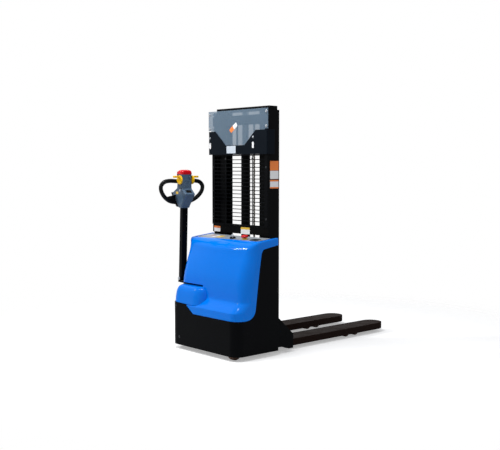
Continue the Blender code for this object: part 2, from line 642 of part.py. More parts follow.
# ---------------------------------------------------------------- drive unit and tiller
def build_drive():
    """Everything that turns with the steering, drawn straight ahead and turned to its rest angle."""
    steer = empty("steer_axis", (*STEER_XY, 0), (0, 0, math.radians(STEER_REST)), machine)
    cheek = (DRIVE_WHEEL_W / 2 + 0.004, DRIVE_WHEEL_W / 2 + 0.044)
    crown = (DRIVE_WHEEL_R * 2 + 0.012, DRIVE_PLATE_Z - 0.004)
    gearbox = [(0, crown[0]), (0.078, crown[0]), (0.078, crown[1]), (NECK_R, crown[1]),
               (NECK_R, 0.358), (0, 0.358)]
    unit = piece("drive_unit", turned(gearbox), black_paint, steer, True)
    fuse(unit, prism([(-0.045, crown[0] + 0.01), (-0.045, 0.070), (-0.020, 0.048), (0.020, 0.048),
                      (0.045, 0.070), (0.045, crown[0] + 0.01)], "Y", -cheek[1], -cheek[0]))
    fuse(unit, rod(0.018, -cheek[0] - 0.01, DRIVE_WHEEL_W / 2 - 0.01, (0, 0, DRIVE_WHEEL_R), "Y"))
    half = DRIVE_WHEEL_W / 2
    rim = DRIVE_WHEEL_R
    tyre = [(0.0183, -half), (rim - 0.004, -half), (rim, -half + 0.004), (rim, half - 0.004),
            (rim - 0.004, half), (0, half), (0, half - 0.009), (0.0183, half - 0.009)]
    piece("drive_wheel", turned(tyre, axis="Y", segments=32), urethane, steer, True, (0, 0, rim))
    can = [(0, 0.358 + GAP), (MOTOR_R, 0.358 + GAP), (MOTOR_R, MOTOR_TOP - 0.008),
           (MOTOR_R - 0.008, MOTOR_TOP), (0, MOTOR_TOP)]
    piece("drive_motor", turned(can), dark_plastic, steer, True)

    plate_low = HOOD_TOP + (SLOT_HEIGHT - PLATE_T) / 2
    plate_top = plate_low + PLATE_T
    hinge_z = plate_top + HINGE_RISE
    ear = (ARM_HALF_W + 0.001, ARM_HALF_W + 0.008)
    end_x = -TILLER_REACH - 0.018
    outline = arc((0, 0), 0.046, -80, 80, 6) + [(end_x, ear[1]), (end_x, -ear[1])]
    base = piece("tiller_base", prism(outline, "Z", plate_low, plate_top), black_paint, steer)
    fuse(base, rod(COLUMN_R, MOTOR_TOP + GAP, plate_low + 0.002, segments=16))
    ear_outline = [(-TILLER_REACH - 0.016, plate_top - 0.001), (-TILLER_REACH + 0.024, plate_top - 0.001)]
    ear_outline += arc((-TILLER_REACH, hinge_z), 0.016, 0, 180, 6)
    for low, high in ((-ear[1], -ear[0]), (ear[0], ear[1])):
        fuse(base, prism(ear_outline, "Y", low, high))
    fuse(base, rod(HINGE_PIN_R, -ear[1] - 0.003, ear[1] + 0.003, (-TILLER_REACH, 0, hinge_z), "Y", 16))
    return empty("tiller_axis", (-TILLER_REACH, 0, hinge_z), (0, math.radians(ARM_LEAN), 0), steer)


def rounded_rect(half_x, half_y, chamfer, z):
    """Eight-cornered section, chamfered, listed anticlockwise."""
    a, b, c = half_x, half_y, chamfer
    return [(a, b - c, z), (a - c, b, z), (c - a, b, z), (-a, b - c, z),
            (-a, c - b, z), (c - a, -b, z), (a - c, -b, z), (a, c - b, z)]


def head_solid(grow=0.0):
    """The tiller head's housing on the top of the arm: a faceted flare with a nose towards the front."""
    base = ARM_LENGTH + GAP
    sections = []
    for i, (rise, half_w, back, front, nose, flank) in enumerate(HEAD_SECTIONS):
        end = {0: -grow, len(HEAD_SECTIONS) - 1: grow}.get(i, 0)
        chamfer = 0.008 + 0.25 * (half_w - 0.04)
        half = [(front + grow, nose + grow), (flank, half_w + grow),
                (chamfer - back - grow, half_w + grow), (-back - grow, half_w + grow - chamfer)]
        line = half + [(x, -y) for x, y in reversed(half)]
        sections.append([(x, y, base + rise + end) for x, y in line])
    return lofted(sections)


def build_tiller(hinge):
    """Arm, head, loops, throttle and buttons; -X is the side the arm is lowered towards."""
    eye = [(math.sin(a) * ARM_HALF_T, -math.cos(a) * ARM_HALF_T) for a in
           (math.radians(-90 + 180 * i / 8) for i in range(9))]
    outline = eye + [(ARM_HALF_T, ARM_LENGTH), (-ARM_HALF_T, ARM_LENGTH)]
    arm = piece("tiller_arm", prism(outline, "Y", -ARM_HALF_W, ARM_HALF_W), dark_plastic, hinge)
    cut(arm, rod(HINGE_PIN_R + GAP, -0.04, 0.04, axis="Y", segments=16))

    head = piece("tiller_head", head_solid(), slate_plastic, hinge)
    base = ARM_LENGTH + GAP
    top = base + HEAD_SECTIONS[-1][0]
    face = HEAD_SECTIONS[-1][2]
    throttle_x, throttle_z = THROTTLE_AT[0], base + THROTTLE_AT[1]
    cut(head, rod(0.0055, -0.08, 0.08, (throttle_x, 0, throttle_z), "Y", 16))
    cut(head, rod(0.0085, top - 0.034, top + 0.01, segments=16))

    for side, sign in (("left", 1), ("right", -1)):
        path = smooth_path([(-LOOP_PLANE, sign * y, base + z) for y, z in LOOP_POINTS], 3)
        loop = piece(f"handle_loop_{side}", swept(path, LOOP_R, 12), dark_plastic, hinge, True)
        cut(loop, head_solid(GAP))

    spread = HEAD_SECTIONS[-1][1] + 0.0035
    throttle = piece("throttle", rod(0.005, -spread - 0.004, spread + 0.004, axis="Y", segments=16),
                     yellow_plastic, hinge, True, (throttle_x, 0, throttle_z))
    for sign in (-1, 1):
        fuse(throttle, rod(THROTTLE_R, *sorted((sign * spread, sign * (spread + 0.014))), axis="Y"))
        wing = sorted((sign * (spread + 0.004), sign * (spread + 0.062)))
        low, high = THROTTLE_R - 0.013, THROTTLE_R - 0.003
        fuse(throttle, block((-0.009, wing[0], low), (0.009, wing[1], high), 0.002))

    rest = top + BELLY_TRAVEL
    cap = [rounded_rect(face + 0.0010, 0.053, 0.012, rest + 0.001),
           rounded_rect(face, 0.052, 0.014, top + 0.026),
           rounded_rect(face - 0.014, 0.038, 0.012, top + 0.036)]
    belly = piece("belly_button", lofted(cap), red_plastic, hinge)
    fuse(belly, rod(0.008, top - 0.026, top + 0.012, segments=16))
    lip = face + 0.0010
    fuse(belly, block((-lip - 0.006, -0.040, top - 0.034), (-lip, 0.040, rest + 0.012)))
    fuse(belly, block((-lip - 0.005, -0.039, rest + 0.002), (-lip + 0.010, 0.039, rest + 0.011)))

    horn_z = base + 0.262
    rocker_z = base + 0.205
    cut(head, rod(0.0095, face - 0.012, face + 0.01, (0, 0.026, horn_z), "X", 16))
    cut(head, block((face - 0.012, -0.022, rocker_z - 0.020), (face + 0.01, 0.022, rocker_z + 0.020)))
    horn = rod(0.009, face - 0.0075, face + 0.005, axis="X", segments=16)
    piece("horn_button", horn, red_plastic, hinge, True, (0, 0.026, horn_z))
    rocker = prism([(-0.0035, -0.006), (0.0025, -0.017), (0.0095, -0.018), (0.007, 0), (0.0095, 0.018),
                    (0.0025, 0.017), (-0.0035, 0.006)], "Y", -0.0215, 0.0215)
    piece("lift_rocker", rocker, dark_plastic, hinge, False, (face - 0.0076, 0, rocker_z))


# ---------------------------------------------------------------- mast, carriage and forks
def channel(sign, outer_y, web, reach, low_x, high_x, flange):
    """Plan outline of a mast rail that opens towards the middle."""
    back, inner = outer_y, outer_y - web
    edge = outer_y - reach
    line = [(low_x, back), (high_x, back), (high_x, edge), (high_x - flange, edge), (high_x - flange, inner),
            (low_x + flange, inner), (low_x + flange, edge), (low_x, edge)]
    return [(x, sign * y) for x, y in line]


def build_mast():
    """Outer rails and ties, inner mast, cylinder, pulleys and chains."""
    front = MAST_X + MAST_DEPTH
    inner_x = (MAST_X + RAIL_FLANGE + NEST_GAP_X, front - RAIL_FLANGE - NEST_GAP_X)
    inner_y = MAST_HALF - RAIL_WEB - NEST_GAP_Y
    for side, sign in (("left", 1), ("right", -1)):
        outer = channel(sign, MAST_HALF, RAIL_WEB, OUTER_FLANGE_REACH, MAST_X, front, RAIL_FLANGE)
        piece(f"outer_mast_{side}", prism(outer, "Z", FOOT_Z[1] + GAP, MAST_TOP), black_paint)
        inner = channel(sign, inner_y, RAIL_WEB, inner_y - INNER_EDGE, *inner_x, RAIL_FLANGE)
        piece(f"inner_mast_{side}", prism(inner, "Z", INNER_LOW, MAST_TOP), black_paint)
    foot = block((MAST_X - 0.017, -MAST_HALF, FOOT_Z[0]), (front, MAST_HALF, FOOT_Z[1]))
    piece("outer_mast_foot", foot, black_paint)
    tie_x = (MAST_X - GAP - TIE_T, MAST_X - GAP)
    for name, (low, high) in (("outer_mast_mid_tie", MID_TIE_Z), ("outer_mast_top_tie", HIGH_TIE_Z)):
        piece(name, block((tie_x[0], -MAST_HALF, low), (tie_x[1], MAST_HALF, high)), black_paint)
    top_tie = block((inner_x[0], -inner_y, MAST_TOP + GAP),
                    (front - 0.004, inner_y, MAST_TOP + TOP_TIE_T), 0.003)
    piece("inner_mast_top_tie", top_tie, black_paint)
    low_half = MAST_HALF - OUTER_FLANGE_REACH - 0.006
    mid_x = sum(inner_x) / 2
    low_tie = piece("inner_mast_bottom_tie", block((MAST_X + 0.0022, -low_half, LOW_TIE_Z[0]),
                                                   (inner_x[0] - GAP, low_half, LOW_TIE_Z[1])), black_paint)
    cut(low_tie, rod(CYL_R + CYL_ROOM, LOW_TIE_Z[0] - 0.01, LOW_TIE_Z[1] + 0.01, (mid_x, 0, 0)))
    base = FOOT_Z[1] + GAP
    barrel = [(0, base), (CYL_R, base), (CYL_R, CYL_TOP), (ROD_R + 0.0005, CYL_TOP),
              (ROD_R + 0.0005, base + CYL_FLOOR), (0, base + CYL_FLOOR)]
    cylinder = piece("lift_cylinder", turned(barrel, (mid_x, 0, 0)), black_paint, None, True)
    chain_x = PULLEY_R + GAP + CHAIN_T / 2
    collar = [(mid_x - chain_x - 0.006, -PULLEY_Y - 0.014), (mid_x + chain_x - 0.011, -PULLEY_Y - 0.014),
              (mid_x + chain_x - 0.011, PULLEY_Y + 0.014), (mid_x - chain_x - 0.006, PULLEY_Y + 0.014)]
    fuse(cylinder, prism(collar, "Z", CYL_TOP - COLLAR_H, CYL_TOP - 0.001))
    cut(cylinder, rod(ROD_R + 0.0005, CYL_TOP - COLLAR_H - 0.01, CYL_TOP + 0.01, (mid_x, 0, 0)))

    rod_low = base + CYL_FLOOR + GAP
    piston = piece("piston_rod", rod(ROD_R, rod_low, MAST_TOP, (mid_x, 0, 0)), chrome, None, True)
    yoke = block((mid_x - 0.022, -0.050, PULLEY_Z - 0.022), (mid_x + 0.022, 0.050, PULLEY_Z + 0.022), 0.002)
    fuse(piston, yoke)
    reach = PULLEY_Y + PULLEY_W / 2 + 0.006
    fuse(piston, rod(0.008, -reach, reach, (mid_x, 0, PULLEY_Z), "Y", 16))

    lug_z = CARRIAGE_Z[1] - 0.080
    for side, sign in (("left", 1), ("right", -1)):
        y = sign * PULLEY_Y
        half = PULLEY_W / 2
        flange = PULLEY_R + 0.003
        sheave = [(0.0083, -half), (flange, -half), (flange, -half + 0.0015), (PULLEY_R, -half + 0.0015),
                  (PULLEY_R, half - 0.0015), (flange, half - 0.0015), (flange, half), (0.0083, half)]
        piece(f"chain_pulley_{side}", turned(sheave, axis="Y"), steel, None, True, (mid_x, y, PULLEY_Z))
        inside, outside = PULLEY_R + 0.002, PULLEY_R + 0.002 + CHAIN_T
        over = [(mid_x - outside, CYL_TOP + GAP), (mid_x - inside, CYL_TOP + GAP)]
        over += arc((mid_x, PULLEY_Z), inside, 180, 0, 8)
        over += [(mid_x + inside, lug_z + GAP), (mid_x + outside, lug_z + GAP)]
        over += arc((mid_x, PULLEY_Z), outside, 0, 180, 8)
        piece(f"lift_chain_{side}", prism(over, "Y", y - CHAIN_W / 2, y + CHAIN_W / 2), steel)
    return mid_x, lug_z


def build_carriage(mid_x, lug_z):
    """Fork carriage with its rollers, and the two wrap-over forks."""
    low, high = CARRIAGE_Z
    bar_x = CARRIAGE_BAR_X
    top_bar = block((bar_x[0], -CARRIAGE_HALF, high - 0.080), (bar_x[1], CARRIAGE_HALF, high))
    carriage = piece("carriage_frame", top_bar, black_paint)
    fuse(carriage, block((bar_x[0], -CARRIAGE_HALF, low), (bar_x[1], CARRIAGE_HALF, low + 0.090)))
    roller_z = high - 0.100
    for side, sign in (("left", 1), ("right", -1)):
        plate = sorted(sign * y for y in CARRIAGE_PLATE_Y)
        fuse(carriage, block((0.455, plate[0], low + 0.001), (bar_x[1] - 0.001, plate[1], high - 0.001)))
        fuse(carriage, block((mid_x + PULLEY_R + 0.001, sign * PULLEY_Y - 0.014, lug_z - 0.020),
                             (bar_x[0] + 0.005, sign * PULLEY_Y + 0.014, lug_z)))
        axle = sorted((sign * (CARRIAGE_PLATE_Y[1] - 0.002), sign * 0.312))
        fuse(carriage, rod(0.012, *axle, (mid_x, 0, roller_z), "Y", 16))
        piece(f"carriage_roller_{side}", ring(0.0123, 0.0280, -0.029, 0.029, axis="Y"), steel, None, True,
              (mid_x, sign * 0.281, roller_z))

    tip_r = FORK_W / 2
    inner_r = tip_r - FORK_WALL
    heel = bar_x[1] + GAP
    for side, sign in (("left", 1), ("right", -1)):
        mid = sign * FORK_CENTRE
        tip = (FORK_TIP - tip_r, mid)
        outline = [(SKIRT_START, mid - tip_r)] + arc(tip, tip_r, -90, 90, 12) + [(SKIRT_START, mid + tip_r)]
        fork = piece(f"fork_{side}", prism(outline, "Z", FORK_LOW, FORK_TOP), black_paint)
        inside = [(SKIRT_START - 0.02, mid - inner_r)] + arc(tip, inner_r, -90, 90, 12)
        inside += [(SKIRT_START - 0.02, mid + inner_r)]
        low_z = FORK_TOP - FORK_WALL
        cut(fork, prism(inside, "Z", FORK_LOW - 0.01, low_z))
        fuse(fork, block((heel, mid - tip_r, low_z), (SKIRT_START + 0.01, mid + tip_r, FORK_TOP)))
        shank = sorted((mid - sign * tip_r, sign * CARRIAGE_HALF))
        fuse(fork, block((heel, shank[0], FORK_TOP - 0.001), (heel + SHANK_T, shank[1], high)))
        front = heel + SHANK_T
        fillet = [(front - 0.001, FORK_TOP - 0.001), (front + HEEL_FILLET, FORK_TOP - 0.001),
                  (front - 0.001, FORK_TOP + HEEL_FILLET)]
        fuse(fork, prism(fillet, "Y", shank[0] + 0.002, shank[1] - 0.002))


def grid_sheet(ys, zs, is_open, low_x, high_x):
    """A flat sheet cut into cells, leaving some of them open."""
    bm = bmesh.new()
    cells = {(i, j) for i in range(len(ys) - 1) for j in range(len(zs) - 1) if not is_open(i, j)}
    corner = {}

    def vert(i, j, x):
        if (i, j, x) not in corner:
            corner[(i, j, x)] = bm.verts.new((x, ys[i], zs[j]))
        return corner[(i, j, x)]

    for i, j in cells:
        for x in (low_x, high_x):
            bm.faces.new((vert(i, j, x), vert(i + 1, j, x), vert(i + 1, j + 1, x), vert(i, j + 1, x)))
        for (di, dj), (a, b) in (((-1, 0), ((0, 0), (0, 1))), ((1, 0), ((1, 0), (1, 1))),
                                 ((0, -1), ((0, 0), (1, 0))), ((0, 1), ((0, 1), (1, 1)))):
            if (i + di, j + dj) in cells:
                continue
            first, second = (i + a[0], j + a[1]), (i + b[0], j + b[1])
            bm.faces.new((vert(*first, low_x), vert(*second, low_x),
                          vert(*second, high_x), vert(*first, high_x)))
    return bm


def build_guards():
    """Grille, hanger plate and clear shield on the operator's side of the mast."""
    low, high = GUARD_Z
    edge = MAST_HALF - 0.001
    posts = [-edge, -edge + 0.030, -GUARD_POST_Y - 0.004, -GUARD_POST_Y + 0.004,
             GUARD_POST_Y - 0.004, GUARD_POST_Y + 0.004, edge - 0.030, edge]
    pitch = (high - low - 2 * 0.012) / GUARD_ROWS
    bars = [low]
    for k in range(GUARD_ROWS):
        first = low + 0.012 + k * pitch
        below = GUARD_BAR / 2 if k else 0
        above = GUARD_BAR / 2 if k < GUARD_ROWS - 1 else 0
        bars += [first + below, first + pitch - above]
    bars.append(high)
    grille = grid_sheet(posts, bars, lambda i, j: i % 2 == 1 and j % 2 == 1, GUARD_X, GUARD_X + GUARD_T)
    guard = piece("mesh_guard", grille, black_paint)
    for sign in (-1, 1):
        side = sorted((sign * edge, sign * (edge - 0.004)))
        fuse(guard, block((GUARD_X + 0.001, side[0], low + 0.0005), (MAST_X - GAP, side[1], high - 0.0005)))

    low, high = HANGER_Z
    wrap = HANGER_X + HANGER_WRAP
    t = HANGER_T
    half = HANGER_HALF
    lip = MAST_HALF + GAP
    bend_x = HANGER_X + 0.006
    left = [(HANGER_X + t, half - t - 0.006), (bend_x, half - t), (wrap - t, half - t), (wrap - t, lip),
            (wrap, lip), (wrap, half), (bend_x, half), (HANGER_X, half - 0.006)]
    outline = left + [(x, -y) for x, y in reversed(left)]
    hanger = piece("hanger_plate", prism(outline, "Z", low + GAP, high), slate_plastic)
    notch = [(NOTCH_MID - NOTCH_HALF[0], NOTCH_LOW), (NOTCH_MID + NOTCH_HALF[0], NOTCH_LOW),
             (NOTCH_MID + NOTCH_HALF[1], high + 0.01), (NOTCH_MID - NOTCH_HALF[1], high + 0.01)]
    cut(hanger, prism(notch, "X", HANGER_X - 0.01, HANGER_X + 0.01))

    low, step, high = SHIELD_Z
    narrow, wide = SHIELD_HALF
    back = HANGER_X + HANGER_T + GAP
    outline = [(-narrow, low), (narrow, low), (narrow, step), (wide, step), (wide, high), (-wide, high),
               (-wide, step), (-narrow, step)]
    shield = piece("clear_guard", prism(outline, "X", back, back + SHIELD_T), clear_sheet)
    for sign in (-1, 1):
        for z in (step + 0.014, high - 0.028):
            fuse(shield, rod(0.008, back + SHIELD_T - 0.001, MAST_X - GAP, (0, sign * 0.328, z), "X", 12))


build_chassis()
build_legs()
build_castor()
build_controls(build_covers())
build_power()
build_tiller(build_drive())
build_carriage(*build_mast())
build_guards()
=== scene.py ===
# %% [markdown]
# # A walkie stacker, piece by piece
#
# The machine is a battery-driven stacker that a person steers with a tiller: a black steel chassis
# with blue moulded covers, a two-stage mast behind a guard, and two forks over straddling legs.
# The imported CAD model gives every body, joint and size. This lesson puts the finishes on its steel
# parts and rebuilds what was moulded, turned or cast with the softer shapes such parts have.

# %% Load the frame
import json
import math

import bmesh
import bpy
from mathutils import Matrix, Vector

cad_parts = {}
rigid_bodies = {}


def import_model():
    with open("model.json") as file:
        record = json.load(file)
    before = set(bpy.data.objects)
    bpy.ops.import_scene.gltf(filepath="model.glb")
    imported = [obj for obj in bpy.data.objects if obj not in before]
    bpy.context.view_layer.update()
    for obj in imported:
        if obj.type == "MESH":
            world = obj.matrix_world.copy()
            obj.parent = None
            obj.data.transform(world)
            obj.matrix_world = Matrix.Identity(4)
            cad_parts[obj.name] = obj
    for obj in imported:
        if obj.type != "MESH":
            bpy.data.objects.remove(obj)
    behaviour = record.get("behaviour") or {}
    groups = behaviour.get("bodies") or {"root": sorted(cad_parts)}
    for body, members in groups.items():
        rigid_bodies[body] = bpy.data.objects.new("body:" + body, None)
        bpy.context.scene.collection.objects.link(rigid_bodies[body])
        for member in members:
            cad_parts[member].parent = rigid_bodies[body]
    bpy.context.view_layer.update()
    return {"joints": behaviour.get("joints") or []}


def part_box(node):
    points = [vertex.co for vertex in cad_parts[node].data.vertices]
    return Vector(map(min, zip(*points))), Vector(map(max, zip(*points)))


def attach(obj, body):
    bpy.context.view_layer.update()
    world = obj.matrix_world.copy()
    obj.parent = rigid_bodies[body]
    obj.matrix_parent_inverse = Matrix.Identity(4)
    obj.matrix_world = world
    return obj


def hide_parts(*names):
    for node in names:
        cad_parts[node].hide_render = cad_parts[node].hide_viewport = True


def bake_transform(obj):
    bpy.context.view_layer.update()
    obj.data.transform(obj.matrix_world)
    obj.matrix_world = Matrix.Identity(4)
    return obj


for stray in list(bpy.data.objects):
    bpy.data.objects.remove(stray)
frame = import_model()

# %% [markdown]
# ## One ruler for the whole machine
#
# A workshop measures from a datum face. Here the datum is the rear face of the chassis, the mast's
# centre plane and the floor. The chassis box says where that lies in the frame, so every later
# number is a plain distance on the machine.

# %% Datum and the tiller's own ruler
shell_low, shell_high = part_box("chassis_shell")
DATUM = Matrix.Translation((shell_low.x, (shell_low.y + shell_high.y) / 2, 0))
STEER_REST = math.radians(-95)   # parked at the machine's side
TILLER_LEAN = math.radians(2.5)
tilt_joint = next(j for j in frame["joints"] if j["name"] == "tiller_tilt")
hinge = DATUM.inverted() @ Vector(tilt_joint["pos_m"])
TILLER = (Matrix.Translation(hinge) @ Matrix.Rotation(STEER_REST, 4, "Z")
          @ Matrix.Rotation(TILLER_LEAN, 4, "Y"))
AT_REST = Matrix()
SIDES = (("left", 1), ("right", -1))
print("datum:", DATUM.translation[:], "tiller hinge:", [round(v, 4) for v in hinge])

# %% [markdown]
# ## Colours and a helper for nodes
#
# Paint makers give colours as sRGB values, while a renderer adds light in linear values. One
# function turns a hex code to linear. A second one adds a node with its settings and its links,
# which keeps each finish below short enough to read as a recipe.

# %% Colour and node helpers
def linear(code):
    parts = [int(code[i:i + 2], 16) / 255 for i in (0, 2, 4)]
    return (*[c / 12.92 if c <= 0.04045 else ((c + 0.055) / 1.055) ** 2.4 for c in parts], 1.0)


def add(tree, kind, settings=None, links=None):
    """Adds one node; settings are its options or its inputs, links join inputs to outputs."""
    node = tree.nodes.new("ShaderNode" + kind)
    for name, value in (settings or {}).items():
        if isinstance(name, int) or name in node.inputs:
            node.inputs[name].default_value = value
        else:
            setattr(node, name, value)
    for name, output in (links or {}).items():
        tree.links.new(output, node.inputs[name])
    return node


def mm(size):
    """Scale of a pattern whose features are this many millimetres apart."""
    return 1000 / size


print("mid grey in linear light:", round(linear("808080")[0], 3))

# %% [markdown]
# ## Finishes
#
# Each finish starts from the real process. Powder coat melts into a skin with a faint orange peel;
# moulded covers are glossy with a slow waviness from cooling; a grip is grained so that it doesn't
# slip. A fine noise bends the surface, and a broad one varies the gloss and shifts the colour a
# little, as dust, light and handling do. The real grain of paint and plastic is a few tenths of a
# millimetre, too fine to show at this distance, so it is drawn one to three millimetres apart.

# %% The common recipe
finishes = {}


def finish(name, code, roughness, grain_mm, grain_depth, vary=0.12, edge_abrasion_and_highlight=None, **shader_settings):
    """A surface with a colour, a gloss that varies and a grain; spacing and depth are in mm."""
    material = bpy.data.materials.new(name)
    material.use_nodes = True
    tree = material.node_tree
    shader = tree.nodes["Principled BSDF"]
    for key, value in shader_settings.items():
        shader.inputs[key.replace("_", " ")].default_value = value
    place = add(tree, "TexCoord")
    broad = add(tree, "TexNoise", {"Scale": mm(90), "Detail": 3.0}, {"Vector": place.outputs["Object"]})
    fine = add(tree, "TexNoise", {"Scale": mm(grain_mm), "Detail": 2.0}, {"Vector": place.outputs["Object"]})
    gloss = add(tree, "MapRange", {"To Min": roughness * (1 - vary), "To Max": roughness * (1 + vary)},
                {"Value": broad.outputs["Fac"]})
    shade = add(tree, "Mix", {"data_type": "RGBA"}, {"Factor": broad.outputs["Fac"]})
    base = linear(code)
    shade.inputs[6].default_value = tuple(c * (1 - vary / 2) for c in base[:3]) + (1,)
    shade.inputs[7].default_value = tuple(min(1, c * (1 + vary / 2)) for c in base[:3]) + (1,)
    colour = shade.outputs[2]
    # pale edges: partly abrasion and partly a painted highlight where an edge would catch the light
    if edge_abrasion_and_highlight:
        pale_edge_code, amount = edge_abrasion_and_highlight
        rounded = add(tree, "Bevel", {"samples": 4, "Radius": 0.003})
        surface = add(tree, "NewGeometry")
        same = add(tree, "VectorMath", {"operation": "DOT_PRODUCT"},
                   {0: rounded.outputs["Normal"], 1: surface.outputs["Normal"]})
        abraded_and_lit = add(tree, "MapRange", {"From Min": 0.99, "From Max": 0.80, "To Max": amount},
                     {"Value": same.outputs["Value"]})
        pale_edge_mix = add(tree, "Mix", {"data_type": "RGBA"}, {"Factor": abraded_and_lit.outputs[0]})
        pale_edge_mix.inputs[7].default_value = linear(pale_edge_code)
        tree.links.new(colour, pale_edge_mix.inputs[6])
        colour = pale_edge_mix.outputs[2]
    bump = add(tree, "Bump", {"Strength": 0.5, "Distance": grain_depth / 1000},
               {"Height": fine.outputs["Fac"]})
    tree.links.new(colour, shader.inputs["Base Color"])
    tree.links.new(gloss.outputs[0], shader.inputs["Roughness"])
    tree.links.new(bump.outputs[0], shader.inputs["Normal"])
    finishes[name] = material
    return material


print("recipe ready: colour, gloss, grain and rubbed edges")

# %% [markdown]
# Powder coat on steel is dark but never a hole: it keeps a satin sheen, and its corners rub to a
# paler grey. A low specular level keeps the broad faces deep, as the matting agent in the powder
# does. The pale corners are partly that abrasion and partly a painted highlight along the edges;
# both come from comparing the rounded normal with the flat one.

# %% Painted steel
SATIN = {"Specular_IOR_Level": 0.025}
# baked polyester powder: an even satin skin with a faint orange peel
powder_coat = finish("satin_black_powder_coat", "07080A", 0.40, 1.6, 0.05, edge_abrasion_and_highlight=("2E3034", 0.4), **SATIN)
# the same powder on rolled mast section: a touch glossier, so that the long rails catch a line
mast_coat = finish("mast_black_powder_coat", "070809", 0.36, 1.6, 0.04, edge_abrasion_and_highlight=("26282C", 0.4), **SATIN)
# fork coat scuffed by pallets: dull, brownish and uneven
fork_coat = finish("scuffed_black_fork_coat", "1A100D", 0.6, 2.2, 0.07, 0.3, edge_abrasion_and_highlight=("4A3C35", 0.5), **SATIN)
# blue-black powder of the folded hanger plate: colder than the frame next to it
hanger_coat = finish("blue_black_powder_coat", "0C1219", 0.38, 1.6, 0.04, edge_abrasion_and_highlight=("36424E", 0.4), **SATIN)
# coat of the tiller's extrusion: handled every day, so it is the smoothest of the blacks
tiller_tube_coat = finish("tiller_black_coat", "090A0C", 0.3, 1.6, 0.04, edge_abrasion_and_highlight=("24272A", 0.4), **SATIN)
# dip coat of the battery case: matt and soft at the corners
battery_coat = finish("battery_case_coat", "141618", 0.5, 1.6, 0.05, **SATIN)
print("painted steel finishes:", len(finishes))

# %% [markdown]
# The covers are ABS, moulded in one colour in a polished mould. The surface is nearly flat, because
# a fine grain would kill its long highlights. Parts that hands hold are grained or glass-filled.

# %% Moulded plastics
# polished ABS: deep even blue with a slow waviness from cooling
blue_abs = finish("glossy_blue_moulded_abs", "0078E6", 0.09, 14, 0.03, 0.06, Specular_IOR_Level=0.10)
# spark-eroded grain on the panel: hides fingerprints and scatters the light
grey_panel = finish("textured_grey_panel_plastic", "8A9198", 0.5, 0.9, 0.06)
# glass-filled nylon: the fibres give a dry sheen; its pale edges are a painted highlight with a little
# abrasion
slate_nylon = finish("slate_glass_filled_nylon", "4A5F75", 0.36, 1.1, 0.06, edge_abrasion_and_highlight=("A9BACB", 0.7),
                     Specular_IOR_Level=0.25)
# grained nylon of the grips: dark, with a broad soft highlight along the tube
black_nylon = finish("grained_black_nylon", "08090B", 0.36, 1.0, 0.12, Specular_IOR_Level=0.10)
# glossy ABS of the stop buttons: a clean signal red with a small hard highlight
red_abs = finish("glossy_red_abs", "C80014", 0.25, 8, 0.02, 0.08, Specular_IOR_Level=0.3)
# satin ABS of the throttle: warm yellow, a little dulled by thumbs
yellow_abs = finish("satin_yellow_abs", "F4BE12", 0.35, 6, 0.03, 0.08, Specular_IOR_Level=0.3)
# cast urethane of the tyres: brown, dense and slightly shiny where it rolls
cast_urethane = finish("brown_cast_urethane", "4E3324", 0.4, 6, 0.05, Specular_IOR_Level=0.3)
print("painted and moulded finishes:", len(finishes))

# %% [markdown]
# Bare metals keep their own colour in the reflection, and their IOR stays at its default. The way
# each one was made shows in its gloss: cast, ground, plated, oxidised or polished.

# %% Bare metals
# sand-cast aluminium: pale and grainy, with a blurred reflection
cast_alloy = finish("cast_aluminium", "8E9194", 0.45, 1.4, 0.15, Metallic=1.0)
# ground steel: streaked by the belt, bright across the streaks
ground_steel = finish("ground_steel", "B4B8BD", 0.32, 2.5, 0.03, Metallic=1.0)
# zinc on a bolt: cool, and mottled by its crystals
zinc_plate = finish("zinc_plated_steel", "A9ADB2", 0.36, 3.0, 0.04, 0.2, Metallic=1.0)
# black oxide: nearly black, with steel just showing through the oil
black_oxide = finish("black_oxide_steel", "2A2C2F", 0.4, 3.0, 0.04, Metallic=0.6)
# oiled chain: warm grey, with dust held in the oil
oiled_chain = finish("oiled_chain_steel", "6C6862", 0.34, 3.0, 0.05, 0.25, Metallic=1.0)
# hard chrome on the piston rod: polished nearly to a mirror, so that the seal can slide on it
hard_chrome = finish("hard_chrome_plate", "B4B8BC", 0.16, 12, 0.01, 0.05, Metallic=1.0)
print("painted, moulded and bare metal finishes:", len(finishes))

# %% [markdown]
# The operator looks through a sheet of extruded polycarbonate. It is clear with a cold grey tint,
# and years of wiping leave a slight haze, so it is part glass and part milky film. Transparency
# with a broad noise gives that look without the cost of real refraction in a thin sheet.

# %% Clear sheet
def clear_polycarbonate():
    material = bpy.data.materials.new("tinted_clear_polycarbonate")
    material.use_nodes = True
    tree = material.node_tree
    shader = tree.nodes["Principled BSDF"]
    place = add(tree, "TexCoord")
    haze = add(tree, "TexNoise", {"Scale": mm(160), "Detail": 4.0}, {"Vector": place.outputs["Object"]})
    film = add(tree, "MapRange", {"To Min": 0.52, "To Max": 0.66}, {"Value": haze.outputs["Fac"]})
    gloss = add(tree, "MapRange", {"To Min": 0.05, "To Max": 0.16}, {"Value": haze.outputs["Fac"]})
    shader.inputs["Base Color"].default_value = linear("60788C")
    shader.inputs["IOR"].default_value = 1.58
    tree.links.new(film.outputs[0], shader.inputs["Alpha"])
    tree.links.new(gloss.outputs[0], shader.inputs["Roughness"])
    finishes[material.name] = material
    return material


clear_sheet = clear_polycarbonate()
print("clear sheet:", clear_sheet.name)

# %% [markdown]
# Coloured patches are cut from calendered vinyl film. It lies tight on the paint and is a little
# glossier than it, so its thin edge and its own sheen set it apart from painted colour.

